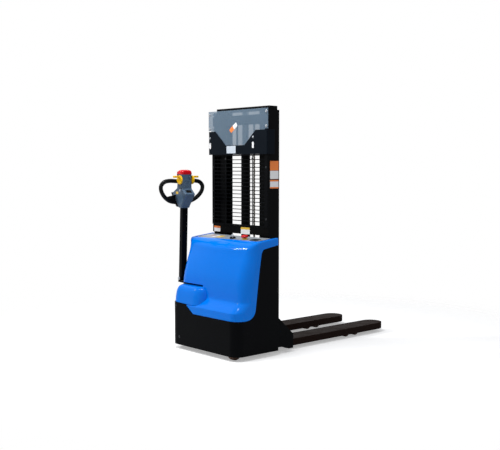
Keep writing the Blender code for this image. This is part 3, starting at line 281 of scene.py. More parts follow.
# %% Vinyl films
VINYL_COLOURS = {"white": "ECEDEE", "orange": "F07F2A", "yellow": "F3C63A", "pale": "C6D0DA",
                 "silver": "9AA1A8", "rose": "B9837C", "dark": "1D2023"}
vinyl = {name: finish(f"{name}_vinyl_film", code, 0.35, 5, 0.01, 0.04)
         for name, code in VINYL_COLOURS.items()}
print("all finishes:", len(finishes))

# %% [markdown]
# ## Making and mounting a piece
#
# A piece is built in millimetre-true metres on the machine's ruler, or on the tiller's own ruler,
# and then moved into the frame. It rides on the body that really carries it, and the CAD nodes that
# it stands for are hidden.

# %% Mounting a piece
made = []


def into_scene(name, bm, *materials):
    """Hands a bmesh over to a new object in the scene."""
    mesh = bpy.data.meshes.new(name)
    bm.to_mesh(mesh)
    bm.free()
    for material in materials:
        mesh.materials.append(material)
    obj = bpy.data.objects.new(name, mesh)
    bpy.context.scene.collection.objects.link(obj)
    return obj


def label(obj, stands_for):
    """Hides the CAD nodes that a piece stands for, and counts it."""
    if stands_for:
        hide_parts(*stands_for)
    made.append(obj.name)


def soften(obj, rounding, segments=2, smooth=35.0):
    """Smooth shading with crisp edges, and a small rounded edge where steel or plastic has one."""
    obj.data.shade_smooth()
    obj.data.set_sharp_from_angle(angle=math.radians(smooth))
    if rounding:
        bevel = obj.modifiers.new("edge", "BEVEL")
        bevel.width = rounding
        bevel.segments = segments
        bevel.limit_method = "ANGLE"
        bevel.angle_limit = math.radians(32)
    weighted = obj.modifiers.new("flat faces stay flat", "WEIGHTED_NORMAL")
    weighted.keep_sharp = True


def mount(name, bm, material, body, slot, stands_for=(), ruler=AT_REST, smooth=35.0, rounding=0.0,
          segments=2):
    """Turns a bmesh into a finished piece on a body."""
    bmesh.ops.remove_doubles(bm, verts=bm.verts, dist=1e-6)
    bmesh.ops.recalc_face_normals(bm, faces=bm.faces)
    bmesh.ops.transform(bm, matrix=DATUM @ ruler, verts=bm.verts)
    obj = into_scene(name, bm, material)
    soften(obj, rounding, segments, smooth)
    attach(obj, body)
    label(obj, stands_for)


# %% [markdown]
# ## The shapes a machine shop makes
#
# Nearly everything here is cut from plate, turned on a lathe, bent from tube or drawn over a former,
# and the next helpers do the same. The first is the plate: an outline with a thickness. Outlines
# are made of straight lines and arcs, because that is what a laser or a saw leaves.

# %% Plates
def plate(outline, axis, low, high):
    """An outline given in the two other axes, with a thickness along this one."""
    order = {"X": lambda a, b, c: (c, a, b), "Y": lambda a, b, c: (a, c, b),
             "Z": lambda a, b, c: (a, b, c)}[axis]
    bm = bmesh.new()
    ends = [[bm.verts.new(order(a, b, c)) for a, b in outline] for c in (low, high)]
    bm.faces.new(ends[0])
    bm.faces.new(reversed(ends[1]))
    for i in range(len(outline)):
        j = (i + 1) % len(outline)
        bm.faces.new((ends[0][j], ends[0][i], ends[1][i], ends[1][j]))
    return bm


def block(low, high):
    (x0, y0, z0), (x1, y1, z1) = low, high
    return plate([(x0, y0), (x1, y0), (x1, y1), (x0, y1)], "Z", z0, z1)


def arc(centre, radius, start, end, steps):
    return [(centre[0] + radius * math.cos(math.radians(start + (end - start) * i / steps)),
             centre[1] + radius * math.sin(math.radians(start + (end - start) * i / steps)))
            for i in range(steps + 1)]


def box_outline(low, high, corner, steps=4):
    """A rectangle with round corners."""
    (x0, y0), (x1, y1) = low, high
    line = []
    for cx, cy, start in ((x1 - corner, y0 + corner, -90), (x1 - corner, y1 - corner, 0),
                          (x0 + corner, y1 - corner, 90), (x0 + corner, y0 + corner, 180)):
        line += arc((cx, cy), corner, start, start + 90, steps)
    return line


sample = plate(box_outline((0, 0), (1, 1), 0.1), "Z", 0, 1)
print("points in a plate with round corners:", len(sample.verts))

# %% [markdown]
# A turned part is a profile spun about its axis. The profile is what a lathe tool would follow, so
# a chamfer or a shoulder radius is one more point on it. Rods are turned too.

# %% Turned parts
TURN = {"Z": Matrix(), "X": Matrix.Rotation(math.pi / 2, 4, "Y"), "Y": Matrix.Rotation(-math.pi / 2, 4, "X")}


def lathe(profile, centre=(0, 0, 0), axis="Z", around=48, bm=None):
    """Spins (radius, height) points about an axis; a radius of 0 closes the end."""
    bm = bm or bmesh.new()
    move = Matrix.Translation(centre) @ TURN[axis]
    rings = []
    for radius, height in profile:
        count = 1 if radius == 0 else around
        rings.append([bm.verts.new(move @ Vector((radius * math.cos(2 * math.pi * i / around),
                                                  radius * math.sin(2 * math.pi * i / around), height)))
                      for i in range(count)])
    for first, second in zip(rings, rings[1:]):
        for i in range(around):
            j = (i + 1) % around
            corners = [first[i % len(first)], first[j % len(first)],
                       second[j % len(second)], second[i % len(second)]]
            face = list(dict.fromkeys(corners))   # a closed end gives triangles
            if len(face) > 2:
                bm.faces.new(face)
    return bm


def rod(radius, low, high, centre=(0, 0, 0), axis="Z", around=32):
    return lathe([(0, low), (radius, low), (radius, high), (0, high)], centre, axis, around)


print("points in a turned rod:", len(rod(1, 0, 1).verts))

# %% [markdown]
# Soft shapes follow a smooth line through a few points. A Catmull-Rom line passes through every
# point that it is given, so each point can be measured on the real thing. A bent tube is a ring
# carried along such a line.

# %% Smooth lines and tubes
def flow(points, steps):
    """A smooth line through the given points, of any dimension."""
    knots = [Vector(p) for p in points]
    knots = [knots[0] * 2 - knots[1]] + knots + [knots[-1] * 2 - knots[-2]]
    line = []
    for i in range(1, len(knots) - 2):
        a, b, c, d = knots[i - 1:i + 3]
        for k in range(steps):
            t = k / steps
            line.append(0.5 * (2 * b + (c - a) * t + (2 * a - 5 * b + 4 * c - d) * t * t
                               + (3 * b - a - 3 * c + d) * t ** 3))
    return line + [knots[-2]]


def tube(path, radius, sides, up=Vector((1, 0, 0))):
    """A round bar along a path; its radius is a function of the share of the way along."""
    bm = bmesh.new()
    rings = []
    for i, point in enumerate(path):
        along = (path[min(i + 1, len(path) - 1)] - path[max(i - 1, 0)]).normalized()
        side = along.cross(up).normalized()
        top = side.cross(along)
        r = radius(i / (len(path) - 1))
        rings.append([bm.verts.new(point + r * (math.cos(a) * top + math.sin(a) * side))
                      for a in (2 * math.pi * k / sides for k in range(sides))])
    for first, second in zip(rings, rings[1:]):
        for k in range(sides):
            m = (k + 1) % sides
            bm.faces.new((first[k], first[m], second[m], second[k]))
    bm.faces.new(rings[0])
    bm.faces.new(reversed(rings[-1]))
    return bm


print("points on a line through three:", len(flow([(0, 0), (1, 1), (2, 0)], 4)))

# %% [markdown]
# Mouldings and housings are lofts: cross-sections of equal length, joined in order. An open loft is
# a skin without thickness, to be thickened afterwards.

# %% Lofts
def loft(sections, caps=True, closed=True):
    """Joins cross-sections of equal length; open rows make a skin."""
    bm = bmesh.new()
    loops = [[bm.verts.new(p) for p in section] for section in sections]
    count = len(loops[0])
    for first, second in zip(loops, loops[1:]):
        for i in range(count if closed else count - 1):
            j = (i + 1) % count
            bm.faces.new((first[i], first[j], second[j], second[i]))
    if caps:
        bm.faces.new(loops[0])
        bm.faces.new(reversed(loops[-1]))
    return bm


square = ((0, 0), (1, 0), (1, 1), (0, 1))
sample = loft([[(x, y, z) for x, y in square] for z in (0, 1)])
print("points in a loft of two squares:", len(sample.verts))

# %% [markdown]
# A mould leaves one even wall, and a router or a punch takes material away. Blender's Solidify and
# Boolean modifiers do both well, so the shape goes through an object for a moment and comes back.

# %% Walls and cuts
def worked(obj):
    """The shape that an object's modifier gives, as a new bmesh."""
    bpy.context.view_layer.update()
    bm = bmesh.new()
    bm.from_mesh(obj.evaluated_get(bpy.context.evaluated_depsgraph_get()).to_mesh())
    return bm


def clear_away(*objects):
    for obj in objects:
        mesh = obj.data
        bpy.data.objects.remove(obj)
        bpy.data.meshes.remove(mesh)


def carve(bm, *tools):
    """Cuts tools out of a shape, as a router or a punch would, and returns the result."""
    for tool in tools:
        for shape in (bm, tool):
            bmesh.ops.recalc_face_normals(shape, faces=shape.faces)
        stock, cutter = into_scene("stock", bm), into_scene("cutter", tool)
        cut = stock.modifiers.new("cut", "BOOLEAN")
        cut.operation = "DIFFERENCE"
        cut.solver = "EXACT"
        cut.object = cutter
        bm = worked(stock)
        clear_away(stock, cutter)
    return bm


def thicken(bm, thickness):
    """Gives an open skin a wall on its inner side, as an injection mould does."""
    bmesh.ops.recalc_face_normals(bm, faces=bm.faces)
    skin = into_scene("skin", bm)
    wall = skin.modifiers.new("wall", "SOLIDIFY")
    wall.thickness = thickness
    wall.offset = -1
    wall.use_even_offset = True
    bm = worked(skin)
    clear_away(skin)
    return bm


sample = carve(block((0, 0, 0), (1, 1, 1)), block((0.4, 0.4, -1), (0.6, 0.6, 2)))
print("points in a block with a square hole:", len(sample.verts))

# %% [markdown]
# ## Skirt and side plates
#
# The chassis is folded from 6 mm plate: a low skirt round the back with large corner radii, and
# tall plates at both sides that sweep up to the mast. At the left the skirt steps up to meet the
# hood over the drive. Both the plates and the covers follow one plan line and one side line, so
# these come first, and the seam between steel and plastic is the same all the way.

# %% The body's plan line and the sweep of the side plate
BODY_LENGTH, BODY_HALF, CORNER_R = 0.457, 0.425, 0.085
SKIRT_LOW, SKIRT_TOP, SEAM = 0.038, 0.319, 0.003
STEP_Y, STEP_Z = (0.125, 0.222), (0.389, 0.400)
CORNER_STEPS = 14
BEYOND = 0.02   # how far a cutting shape reaches past the part


def body_plan(rear, half, corner, front):
    left = arc((rear + corner, half - corner), corner, 90, 180, CORNER_STEPS)
    right = arc((rear + corner, corner - half), corner, 180, 270, CORNER_STEPS)
    return [(front, half)] + left + right + [(front, -half)]


def side_line(offset=0.0):
    """From the low rear to the high front: the top of the black plate, or the seam above it."""
    low = SKIRT_TOP + offset
    foot = arc((0.118, low + 0.090), 0.090, 270, 350, 10)
    rise = flow([foot[-1], (0.231 - offset, 0.558), (0.253 - offset, 0.717), (0.274 - offset, 0.843)], 4)
    bend = flow([(0.274 - offset, 0.843), (0.290 - offset, 0.866 + offset), (0.318, 0.878 + offset),
                 (BODY_LENGTH + BEYOND, 0.904 + offset)], 4)
    return [(-BEYOND, low), (0.100, low)] + foot[:-1] + [tuple(p) for p in rise[:-1] + bend]


print("points on the side sweep:", len(side_line()))

# %% [markdown]
# The real skirt is cut flat by laser and then folded round its corners. Here the order is turned
# round: an open wall is raised from the plan line, gets its 6 mm, and is cut by three plates that
# stand for the side line, the raised left part and the sloping step between them. Its edges are
# slightly rounded, as they are before coating, so that they catch a thin line of light.

# %% Fold and cut the skirt
PLATE_T, SIDE_TOP, HIGH = 0.006, 0.910, 1.0
plan = body_plan(0, BODY_HALF, CORNER_R, BODY_LENGTH)
skin = loft([[(x, y, z) for x, y in plan] for z in (SKIRT_LOW, SIDE_TOP)], caps=False, closed=False)
above = side_line() + [(BODY_LENGTH + BEYOND, HIGH), (-BEYOND, HIGH)]
raised = [(-BEYOND, STEP_Z[1]), (0.2077, STEP_Z[1])] + [(x, z) for x, z in above if z > STEP_Z[1]]
wedge = [(STEP_Y[0] - 0.001, SKIRT_TOP), (STEP_Y[0], SKIRT_TOP), (STEP_Y[1], STEP_Z[0]),
         (BODY_HALF + 0.01, STEP_Z[1]), (BODY_HALF + 0.01, HIGH), (STEP_Y[0] - 0.001, HIGH)]
skirt = carve(thicken(skin, PLATE_T),
              plate(above, "Y", -0.5, STEP_Y[0]),
              plate(raised, "Y", STEP_Y[1] + 0.1, 0.5),
              plate(wedge, "X", -BEYOND, 0.100))
print("points in the skirt:", len(skirt.verts))
mount("chassis_skirt", skirt, powder_coat, "chassis", "black_paint", ["chassis_shell"], rounding=0.0012)

# %% [markdown]
# ## The blue covers
#
# The main cover is one injection-moulded ABS skin that wraps the back and both flanks. From the
# skirt a low vertical band goes straight up, then a ledge runs forward at about 45 degrees, and the
# wall rises to a shoulder that carries the grey panel. Rows of heights describe it. They are joined
# by smooth lines, except at the two folds of the ledge, which stay crisp as they do in a mould.

# %% Rows of the main cover
COVER_WALL, PANEL_RIM, PANEL_T = 0.005, 0.016, 0.006
COVER_ROWS = (   # height, rear face x, forward tilt, corner radius, flank inset, left pull-back, bow
    (0.381, 0.0040, 0.00, 0.085, 0.000, 0.000, 0.000), (0.391, 0.0130, 0.00, 0.085, 0.000, 0.000, 0.000),
    (0.438, 0.0700, 0.00, 0.085, 0.000, 0.000, 0.000), (0.455, 0.0830, 0.00, 0.087, 0.000, 0.000, 0.000),
    (0.480, 0.0865, 0.00, 0.090, 0.000, 0.000, 0.000), (0.530, 0.0870, 0.00, 0.095, 0.000, 0.000, 0.001),
    (0.600, 0.0920, 0.00, 0.102, 0.000, 0.000, 0.003), (0.655, 0.1010, 0.00, 0.106, 0.000, 0.000, 0.006),
    (0.740, 0.1250, 0.00, 0.108, 0.000, 0.000, 0.012), (0.822, 0.1540, 0.03, 0.104, 0.000, 0.000, 0.019),
    (0.868, 0.1680, 0.10, 0.094, 0.001, 0.000, 0.023), (0.891, 0.1800, 0.16, 0.080, 0.002, 0.004, 0.023),
    (0.913, 0.2000, 0.15, 0.058, 0.004, 0.014, 0.018), (0.930, 0.2240, 0.13, 0.040, 0.007, 0.025, 0.009),
    (0.939, 0.2460, 0.10, 0.030, 0.014, 0.034, 0.000),
)
BACK_STEPS = 10


def cover_row(height, rear, tilt, corner, inset, pull, bow, shrink=0.0, drop=0.0):
    """One height of the cover; its back is bowed outwards by a little in the middle."""
    plan = body_plan(rear + shrink, BODY_HALF - inset - shrink, corner, BODY_LENGTH - 0.0005)
    middle = CORNER_STEPS + 2   # the straight back lies between the two corners
    reach = BODY_HALF - inset - shrink - corner
    plan[middle:middle] = [(rear + shrink, reach * (1 - 2 * k / BACK_STEPS)) for k in range(1, BACK_STEPS)]
    back = rear + shrink + corner
    line = []
    for x, y in plan:
        on_left = y > 0 and rear + shrink + 1e-6 < x < back or y >= reach - 1e-6 and x < back
        pulled = x - (pull if on_left else pull * max(0, y / reach) if x < back else 0)
        pulled -= bow * max(0, 1 - (y / reach) ** 2)
        line.append((pulled, y, height - drop + tilt * (pulled - rear)))
    return line


foot, fold, brow = COVER_ROWS[:3]
halfway = tuple(a + (b - a) * 0.5 for a, b in zip(fold, brow))
top_row = COVER_ROWS[-1]
rows = [cover_row(SKIRT_TOP + SEAM / 2, *foot[1:])]
rows += [cover_row(*row) for row in (foot, fold, halfway, brow, *flow(COVER_ROWS[3:], 3))]
rows += [cover_row(*top_row, shrink=PANEL_RIM), cover_row(*top_row, shrink=PANEL_RIM + 0.0005, drop=PANEL_T)]
print("rows in the main cover:", len(rows))

# %% [markdown]
# The hood over the drive motor is a second moulding. It is drawn over the motor like a cap with a
# wide soft shoulder. Its rows are needed before the cover is trimmed, because the cover has a pocket
# of the same shape, one seam wider.

# %% Rows of the drive hood
HOOD_ROWS = ((0.450, 0.004), (0.488, 0.010), (0.512, 0.018), (0.528, 0.028), (0.538, 0.042), (0.542, 0.058))
HOOD_TOP, HOOD_INSET, HOOD_RIGHT_Y, HOOD_BEND_R, HOOD_FRONT = 0.542, 0.006, 0.032, 0.112, 0.225


def hood_rows(grow=0.0):
    """Heights of the hood (height, inset); a grown copy cuts its pocket in the cover."""
    low, high = STEP_Z
    foot_gap = -0.0010 if grow else 0.0012
    rows = []
    for height, inset in ((None, 0.0),) + tuple(flow(HOOD_ROWS, 2)):
        half, back = BODY_HALF - HOOD_INSET - inset + grow, HOOD_INSET + inset - grow
        corner, bend = 0.085 - HOOD_INSET - inset * 0.6, HOOD_BEND_R - inset + grow
        right = HOOD_RIGHT_Y + inset - grow
        plan = [(HOOD_FRONT + grow, half)] + arc((back + corner, half - corner), corner, 90, 180, 12)
        plan += arc((back + bend, right + bend), bend, 180, 270, 16) + [(HOOD_FRONT + grow, right)]
        if height is None:   # the foot follows the step in the skirt
            rows.append([(x, y, low + (high - low) * max(0, (y - STEP_Y[1]) / (BODY_HALF + 0.01 - STEP_Y[1]))
                          + foot_gap) for x, y in plan])
        else:
            rows.append([(x, y, height + (grow if height > HOOD_TOP - 1e-6 else 0)) for x, y in plan])
    return rows


print("rows in the hood:", len(hood_rows()))

# %% [markdown]
# A moulded skin has one even wall, so the rows are joined to an open skin and then thickened
# inwards. What a mould would leave open is cut away afterwards: the step over the skirt, the pocket
# for the hood, the slot in which the tiller's column swings, both flanks along the side line, and
# the notch for the mast.

# %% Mould and trim the main cover
POCKET_FRONT, BELOW = 0.208, 0.300
skin = loft(rows, caps=False, closed=False)
skin.faces.new([v for v in skin.verts][-len(rows[0]):])
outside = BODY_HALF + BEYOND
step = [(STEP_Y[0] - SEAM, BELOW), (STEP_Y[0] - SEAM, SKIRT_TOP), (STEP_Y[1] - SEAM, STEP_Z[0] - 0.001),
        (outside, STEP_Z[1] - 0.001), (outside, BELOW)]
flank = [(x, z) for x, z in side_line(SEAM) if x > 0.1] + [(BODY_LENGTH + BEYOND, BELOW), (0.118, BELOW)]
cover = carve(thicken(skin, COVER_WALL),
              plate(step, "X", -BEYOND, POCKET_FRONT),
              block((-BEYOND, BODY_HALF - 0.03, BELOW), (POCKET_FRONT, outside, 0.470)),
              block((-BEYOND, 0.096, HOOD_TOP - 0.002), (POCKET_FRONT, outside, HOOD_TOP + 0.015)),
              loft(hood_rows(SEAM)),
              plate(flank, "Y", BODY_HALF - 0.030, outside),
              plate(flank, "Y", -outside, -BODY_HALF + 0.030),
              block((0.4185, -0.358, 0.85), (BODY_LENGTH + BEYOND, 0.358, 1.05)))
print("points in the main cover:", len(cover.verts))
mount("main_cover_skin", cover, blue_abs, "chassis", "blue_cover", ["main_cover"], smooth=28, rounding=0.0012)

# %% [markdown]
# The hood is made the same way with a thinner wall. The drive's column comes up through a hole in
# its top, which is drilled last.

# %% Mould the drive hood
STEER_XY, COLUMN_R, HOOD_WALL = (0.138, 0.300), 0.024, 0.004
skin = loft(hood_rows(), caps=False, closed=False)
skin.faces.new([v for v in skin.verts][-len(hood_rows()[0]):])
hood = carve(thicken(skin, HOOD_WALL), rod(COLUMN_R + 0.004, 0.5, 0.6, (*STEER_XY, 0), around=48))
print("points in the hood:", len(hood.verts))
mount("drive_hood", hood, blue_abs, "chassis", "blue_cover", ["drive_cover"], smooth=28, rounding=0.0008)

# %% [markdown]
# ## The tiller
#
# The arm is a coated aluminium extrusion with round corners, bored at its foot for the hinge pin.
# A shop saws off a length, mills the eye round and drills it, so it is one outline with a thickness
# here, and only its long edges are rounded.

# %% Arm
ARM_HALF_W, ARM_HALF_T, ARM_LENGTH, HINGE_BORE_R = 0.027, 0.023, 0.609, 0.0083
eye = [(math.sin(a) * ARM_HALF_T, -math.cos(a) * ARM_HALF_T) for a in
       (math.radians(-90 + 180 * i / 16) for i in range(17))]
arm = plate(eye + [(ARM_HALF_T, ARM_LENGTH), (-ARM_HALF_T, ARM_LENGTH)], "Y", -ARM_HALF_W, ARM_HALF_W)
arm = carve(arm, rod(HINGE_BORE_R, -0.04, 0.04, axis="Y"))
mount("tiller_extrusion", arm, tiller_tube_coat, "tiller", "black_paint", ["tiller_arm"], TILLER,
      rounding=0.0045, segments=4)
print("tiller arm length:", ARM_LENGTH)

# %% [markdown]
# The head is a housing of glass-filled nylon: it flares up to a ridge, then narrows to a neck that
# carries the throttle. Flat facets with soft edges are how such a mould is split and polished, so a
# few eight-sided sections are joined, and the fittings' holes are bored afterwards.

# %% Head
HEAD_BASE = ARM_LENGTH + 0.0003
HEAD_SECTIONS = (   # height, half width, back, front, half width of the nose, start of its flanks
    (0.000, 0.040, 0.030, 0.030, 0.033, 0.022), (0.018, 0.046, 0.034, 0.034, 0.038, 0.022),
    (0.122, 0.050, 0.122, 0.100, 0.046, 0.090), (0.166, 0.052, 0.046, 0.042, 0.046, 0.034),
    (0.240, 0.050, 0.040, 0.040, 0.042, 0.032), (0.290, 0.050, 0.040, 0.040, 0.042, 0.032),
)
HEAD_TOP = HEAD_BASE + HEAD_SECTIONS[-1][0]
FACE = HEAD_SECTIONS[-1][2]
THROTTLE_X, THROTTLE_Z = 0.020, HEAD_BASE + 0.240
SHAFT_BORE_R, STEM_BORE_R, HORN_BORE_R = 0.0055, 0.0085, 0.0095
sections = []
for rise, half_w, back, front, nose, flank in HEAD_SECTIONS:
    chamfer = 0.008 + 0.25 * (half_w - 0.04)
    half = [(front, nose), (flank, half_w), (chamfer - back, half_w), (-back, half_w - chamfer)]
    sections.append([(x, y, HEAD_BASE + rise) for x, y in half + [(x, -y) for x, y in reversed(half)]])
head = carve(loft(sections),
             rod(SHAFT_BORE_R, -0.08, 0.08, (THROTTLE_X, 0, THROTTLE_Z), "Y"),
             rod(STEM_BORE_R, HEAD_TOP - 0.034, HEAD_TOP + 0.01),
             rod(HORN_BORE_R, FACE - 0.012, FACE + 0.01, (0, 0.026, HEAD_BASE + 0.262), "X"),
             block((FACE - 0.012, -0.022, HEAD_BASE + 0.185), (FACE + 0.01, 0.022, HEAD_BASE + 0.225)))
mount("tiller_head_housing", head, slate_nylon, "tiller", "slate_head", ["tiller_head"], TILLER,
      smooth=12, rounding=0.0030, segments=3)
print("tiller head top above hinge:", round(HEAD_TOP, 3))

# %% [markdown]
# The two closed loops guard the hands. They are blow-moulded in black nylon: one thick tube, smooth
# all round, a little stouter where the hand closes on it. A flat web stiffens the inner low corner,
# and a yoke under the head joins both. A tube along a smooth line gives the loop its even flow.

# %% Handle loops
LOOP_R, LOOP_PLANE = 0.018, 0.038
LOOP_POINTS = (   # how far it bends back, distance from the middle, height
    (0.000, 0.020, 0.225), (0.000, 0.060, 0.226), (0.000, 0.120, 0.229), (0.000, 0.170, 0.222),
    (0.000, 0.200, 0.201), (0.000, 0.211, 0.174), (0.002, 0.202, 0.136), (0.008, 0.172, 0.096),
    (0.018, 0.128, 0.064), (0.026, 0.084, 0.048), (0.028, 0.020, 0.040),
)
WEB = ((0.0515, 0.108), (0.090, 0.100), (0.124, 0.093), (0.150, 0.090), (0.118, 0.072), (0.0515, 0.054))
YOKE = ((-0.1224, 0.1218), (-0.1400, 0.1260), (-0.1420, 0.1160), (-0.0620, 0.0100), (-0.0440, 0.0040),
        (-0.0345, 0.0175))
GRIP = (black_nylon, "tiller", "black_plastic")


def loop_radius(share):
    return LOOP_R * (0.985 + 0.015 * math.cos(4 * math.pi * (share - 0.25)))


for side, sign in SIDES:
    path = flow([(-LOOP_PLANE - bend, sign * y, HEAD_BASE + z) for bend, y, z in LOOP_POINTS], 6)
    mount(f"grip_{side}", tube(path, loop_radius, 28), *GRIP, [f"handle_loop_{side}"], TILLER, smooth=50)
    web = plate([(sign * y, HEAD_BASE + z) for y, z in WEB], "X", -LOOP_PLANE - 0.034, -LOOP_PLANE - 0.016)
    mount(f"grip_web_{side}", web, *GRIP, (), TILLER, rounding=0.004, segments=3)
yoke = plate([(x, HEAD_BASE + z) for x, z in YOKE], "Y", -0.0440, 0.0440)
mount("grip_yoke", yoke, *GRIP, (), TILLER, rounding=0.003, segments=3)
print("points along a loop:", len(path))

# %% [markdown]
# The butterfly throttle is a pair of thick yellow discs on one shaft, each with a thumb paddle. It
# is moulded in the signal colour, so the colour doesn't wear off. The discs are turned profiles
# with a rounded rim, and the paddles are small plates, since a thumb only ever pushes them flat.

# %% Throttle
THROTTLE_R, SHAFT_R = 0.038, 0.005
SPREAD = HEAD_SECTIONS[-1][1] + 0.0035
DISC = ((0, 0), (0.034, 0), (0.0375, 0.002), (THROTTLE_R, 0.005), (THROTTLE_R, 0.0095), (0.0365, 0.0135),
        (0.031, 0.0150), (0.016, 0.0150), (0.0135, 0.0125), (0, 0.0125))
BUTTERFLY = (yellow_abs, "throttle", "yellow_plastic")
throttle_ruler = TILLER @ Matrix.Translation((THROTTLE_X, 0, THROTTLE_Z))
throttle = rod(SHAFT_R, -SPREAD - 0.004, SPREAD + 0.004, axis="Y")
for sign in (-1, 1):
    lathe([(r, sign * (SPREAD + h)) for r, h in DISC], axis="Y", around=64, bm=throttle)
mount("throttle_discs", throttle, *BUTTERFLY, ["throttle"], throttle_ruler, smooth=40)
for side, sign in SIDES:
    inner, outer = sorted((sign * (SPREAD + 0.004), sign * (SPREAD + 0.072)))
    outline = box_outline((-0.013, inner), (0.013, outer), 0.010, 6)
    thumb = plate(outline, "Z", THROTTLE_R - 0.019, THROTTLE_R - 0.003)
    mount(f"thumb_paddle_{side}", thumb, *BUTTERFLY, (), throttle_ruler, rounding=0.0028, segments=3)
print("throttle width:", round(2 * (SPREAD + 0.072), 3))

# %% [markdown]
# The belly button is a soft red cap over the end of the head. It reverses the machine when it is
# pressed against the operator, so it is large, crowned and free of edges. The crown is a stack of
# shrinking rings that sink at the back, and a thin skirt and an apron close it round the head.

# %% Belly button
SEAT = HEAD_TOP + 0.006
CAP_HALF_Y, CAP_SINK = 0.053, 0.28
CAP_ROWS = ((1.00, 0.001), (1.01, 0.004), (1.01, 0.010), (0.98, 0.016), (0.91, 0.021), (0.78, 0.0255),
            (0.58, 0.0285), (0.30, 0.030))   # share of the full plan, height above the rest face
BELLY = (red_abs, "belly_button", "red_plastic")


def cap_row(share, rise):
    """A round-cornered ring that sinks towards the operator's side, where the cap wraps down."""
    ring = box_outline((-FACE - 0.001, -CAP_HALF_Y), (FACE + 0.001, CAP_HALF_Y), 0.022, 6)
    return [(x * share, y * share, SEAT + rise - rise * CAP_SINK * max(0, -x * share / FACE) ** 2)
            for x, y in ring]


def ring_plate(grow_x, half_y, corner, low, high):
    """A round-cornered plate round the neck; it grows past the neck's face by a little."""
    return plate(box_outline((-FACE - grow_x, -half_y), (FACE + grow_x, half_y), corner, 6), "Z", low, high)


mount("belly_cap", loft([cap_row(*row) for row in CAP_ROWS]), *BELLY, ["belly_button"], TILLER, smooth=60)
skirt_ring = carve(ring_plate(0.0016, 0.0534, 0.016, SEAT - 0.008, SEAT + 0.003),
                   ring_plate(0.0005, 0.0507, 0.013, SEAT - 0.010, SEAT + 0.0009))
mount("belly_skirt", skirt_ring, *BELLY, (), TILLER, smooth=40)
lip = -FACE - 0.0016
apron = [(lip - 0.009, HEAD_TOP - 0.034), (lip, HEAD_TOP - 0.034), (lip, SEAT + 0.003),
         (lip + 0.010, SEAT + 0.003), (lip + 0.010, SEAT + 0.012), (lip - 0.004, SEAT + 0.012)]
mount("belly_apron", plate(apron, "Y", -0.048, 0.048), *BELLY, (), TILLER, rounding=0.002, segments=3)
stem = rod(0.008, HEAD_TOP - 0.026, HEAD_TOP + 0.012)
mount("belly_stem", stem, black_nylon, "belly_button", "red_plastic", (), TILLER)
print("belly button top above hinge:", round(SEAT + CAP_ROWS[-1][1], 3))

# %% [markdown]
# A dark display is let into the sloping front of the flare, and a pale lens closes the lamp at each
# flank. They are thin, but their own gloss and their shadow line tell the eye where hands work.

# %% Display and lenses
FACET_TILT = math.radians(37.2)
facet = TILLER @ Matrix.Translation((0.071, 0, HEAD_BASE + 0.144)) @ Matrix.Rotation(FACET_TILT, 4, "Y")
display = plate(box_outline((-0.017, -0.026), (0.017, 0.026), 0.004), "Z", 0.0002, 0.0016)
mount("nose_display", display, *GRIP, (), facet, rounding=0.0005)
for side, sign in SIDES:
    lens = lathe([(0, 0.0512), (0.0105, 0.0512), (0.0105, 0.0530), (0.0088, 0.0542), (0, 0.0548)],
                 (0.012, 0, HEAD_BASE + 0.150), "Y", 40)
    if sign < 0:
        bmesh.ops.transform(lens, matrix=Matrix.Scale(-1, 4, (0, 1, 0)), verts=lens.verts)
    mount(f"flank_lens_{side}", lens, vinyl["pale"], "tiller", "grey_panel", (), TILLER, smooth=40)
print("pieces so far:", len(made))

# %% [markdown]
# The emergency stop is a standard mushroom on a yellow collar. Its dome is turned from a soft
# profile, so that a palm can hit it from any side.

# %% Emergency stop
def on_panel(x, y):
    """Ruler of a fitting that stands square on the sloping panel."""
    tilt = top_row[2]
    height = top_row[0] + tilt * (x - top_row[1])
    return Matrix.Translation((x, y, height)) @ Matrix.Rotation(-math.atan(tilt), 4, "Y")


estop_ruler = on_panel(0.300, -0.190)
dome = [(0, 0.0020), (0.009, 0.0020), (0.009, 0.0155), (0.0255, 0.0160), (0.0290, 0.0175), (0.0300, 0.0205),
        (0.0300, 0.0265), (0.0288, 0.0298), (0.0255, 0.0332), (0.0195, 0.0358), (0.0110, 0.0378), (0, 0.0385)]
mount("estop_mushroom", lathe(dome, around=64), red_abs, "estop", "red_plastic", ["estop_button"],
      estop_ruler, smooth=40)
print("emergency stop centre:", [round(v, 3) for v in estop_ruler.translation])

# %% [markdown]
# ## Wheels and rollers
#
# A load roller is a steel hub with a ring of cast urethane bonded on. The castor has the same tread
# on a nylon rim, the carriage runs on plain steel rings, and the drive wheel is a wide urethane tyre
# pressed on a cast hub. All are turned from a profile, as they are on a lathe: the small radius at
# each shoulder is what catches the light.

# %% Wheel builder
def wheel(name, body, centre, radius, width, bore, hub_r, tyre, rim, slot, stands_for, hub_in=0.004):
    """A tyre with rounded shoulders on a recessed hub; the hub has its own finish."""
    half = width / 2
    r = min(0.006, width * 0.14)
    shoulder = [(radius - r + r * math.sin(a), half - r + r * math.cos(a)) for a in
                (math.radians(15 * k) for k in range(7))]
    foot = [(hub_r, half - hub_in), (hub_r + 0.002, half)]
    side = foot + shoulder
    band = [(x, -z) for x, z in side] + side[::-1] + [(hub_r, -half + hub_in)]
    mount(name, lathe(band, centre, "Y", 72), tyre, body, slot, stands_for, smooth=40)
    face = half - hub_in - 0.0005
    dish = [(bore, face), (hub_r * 0.45, face), (hub_r * 0.5, face - 0.003), (hub_r * 0.85, face - 0.003),
            (hub_r * 0.9, face), (hub_r - 0.0003, face)]
    core = [(r, -z) for r, z in dish] + list(reversed(dish)) + [(bore, -face)]
    mount(f"{name}_hub", lathe(core, centre, "Y", 48), rim, body, "bare_steel", (), smooth=40)


print("one wheel takes two turned pieces")

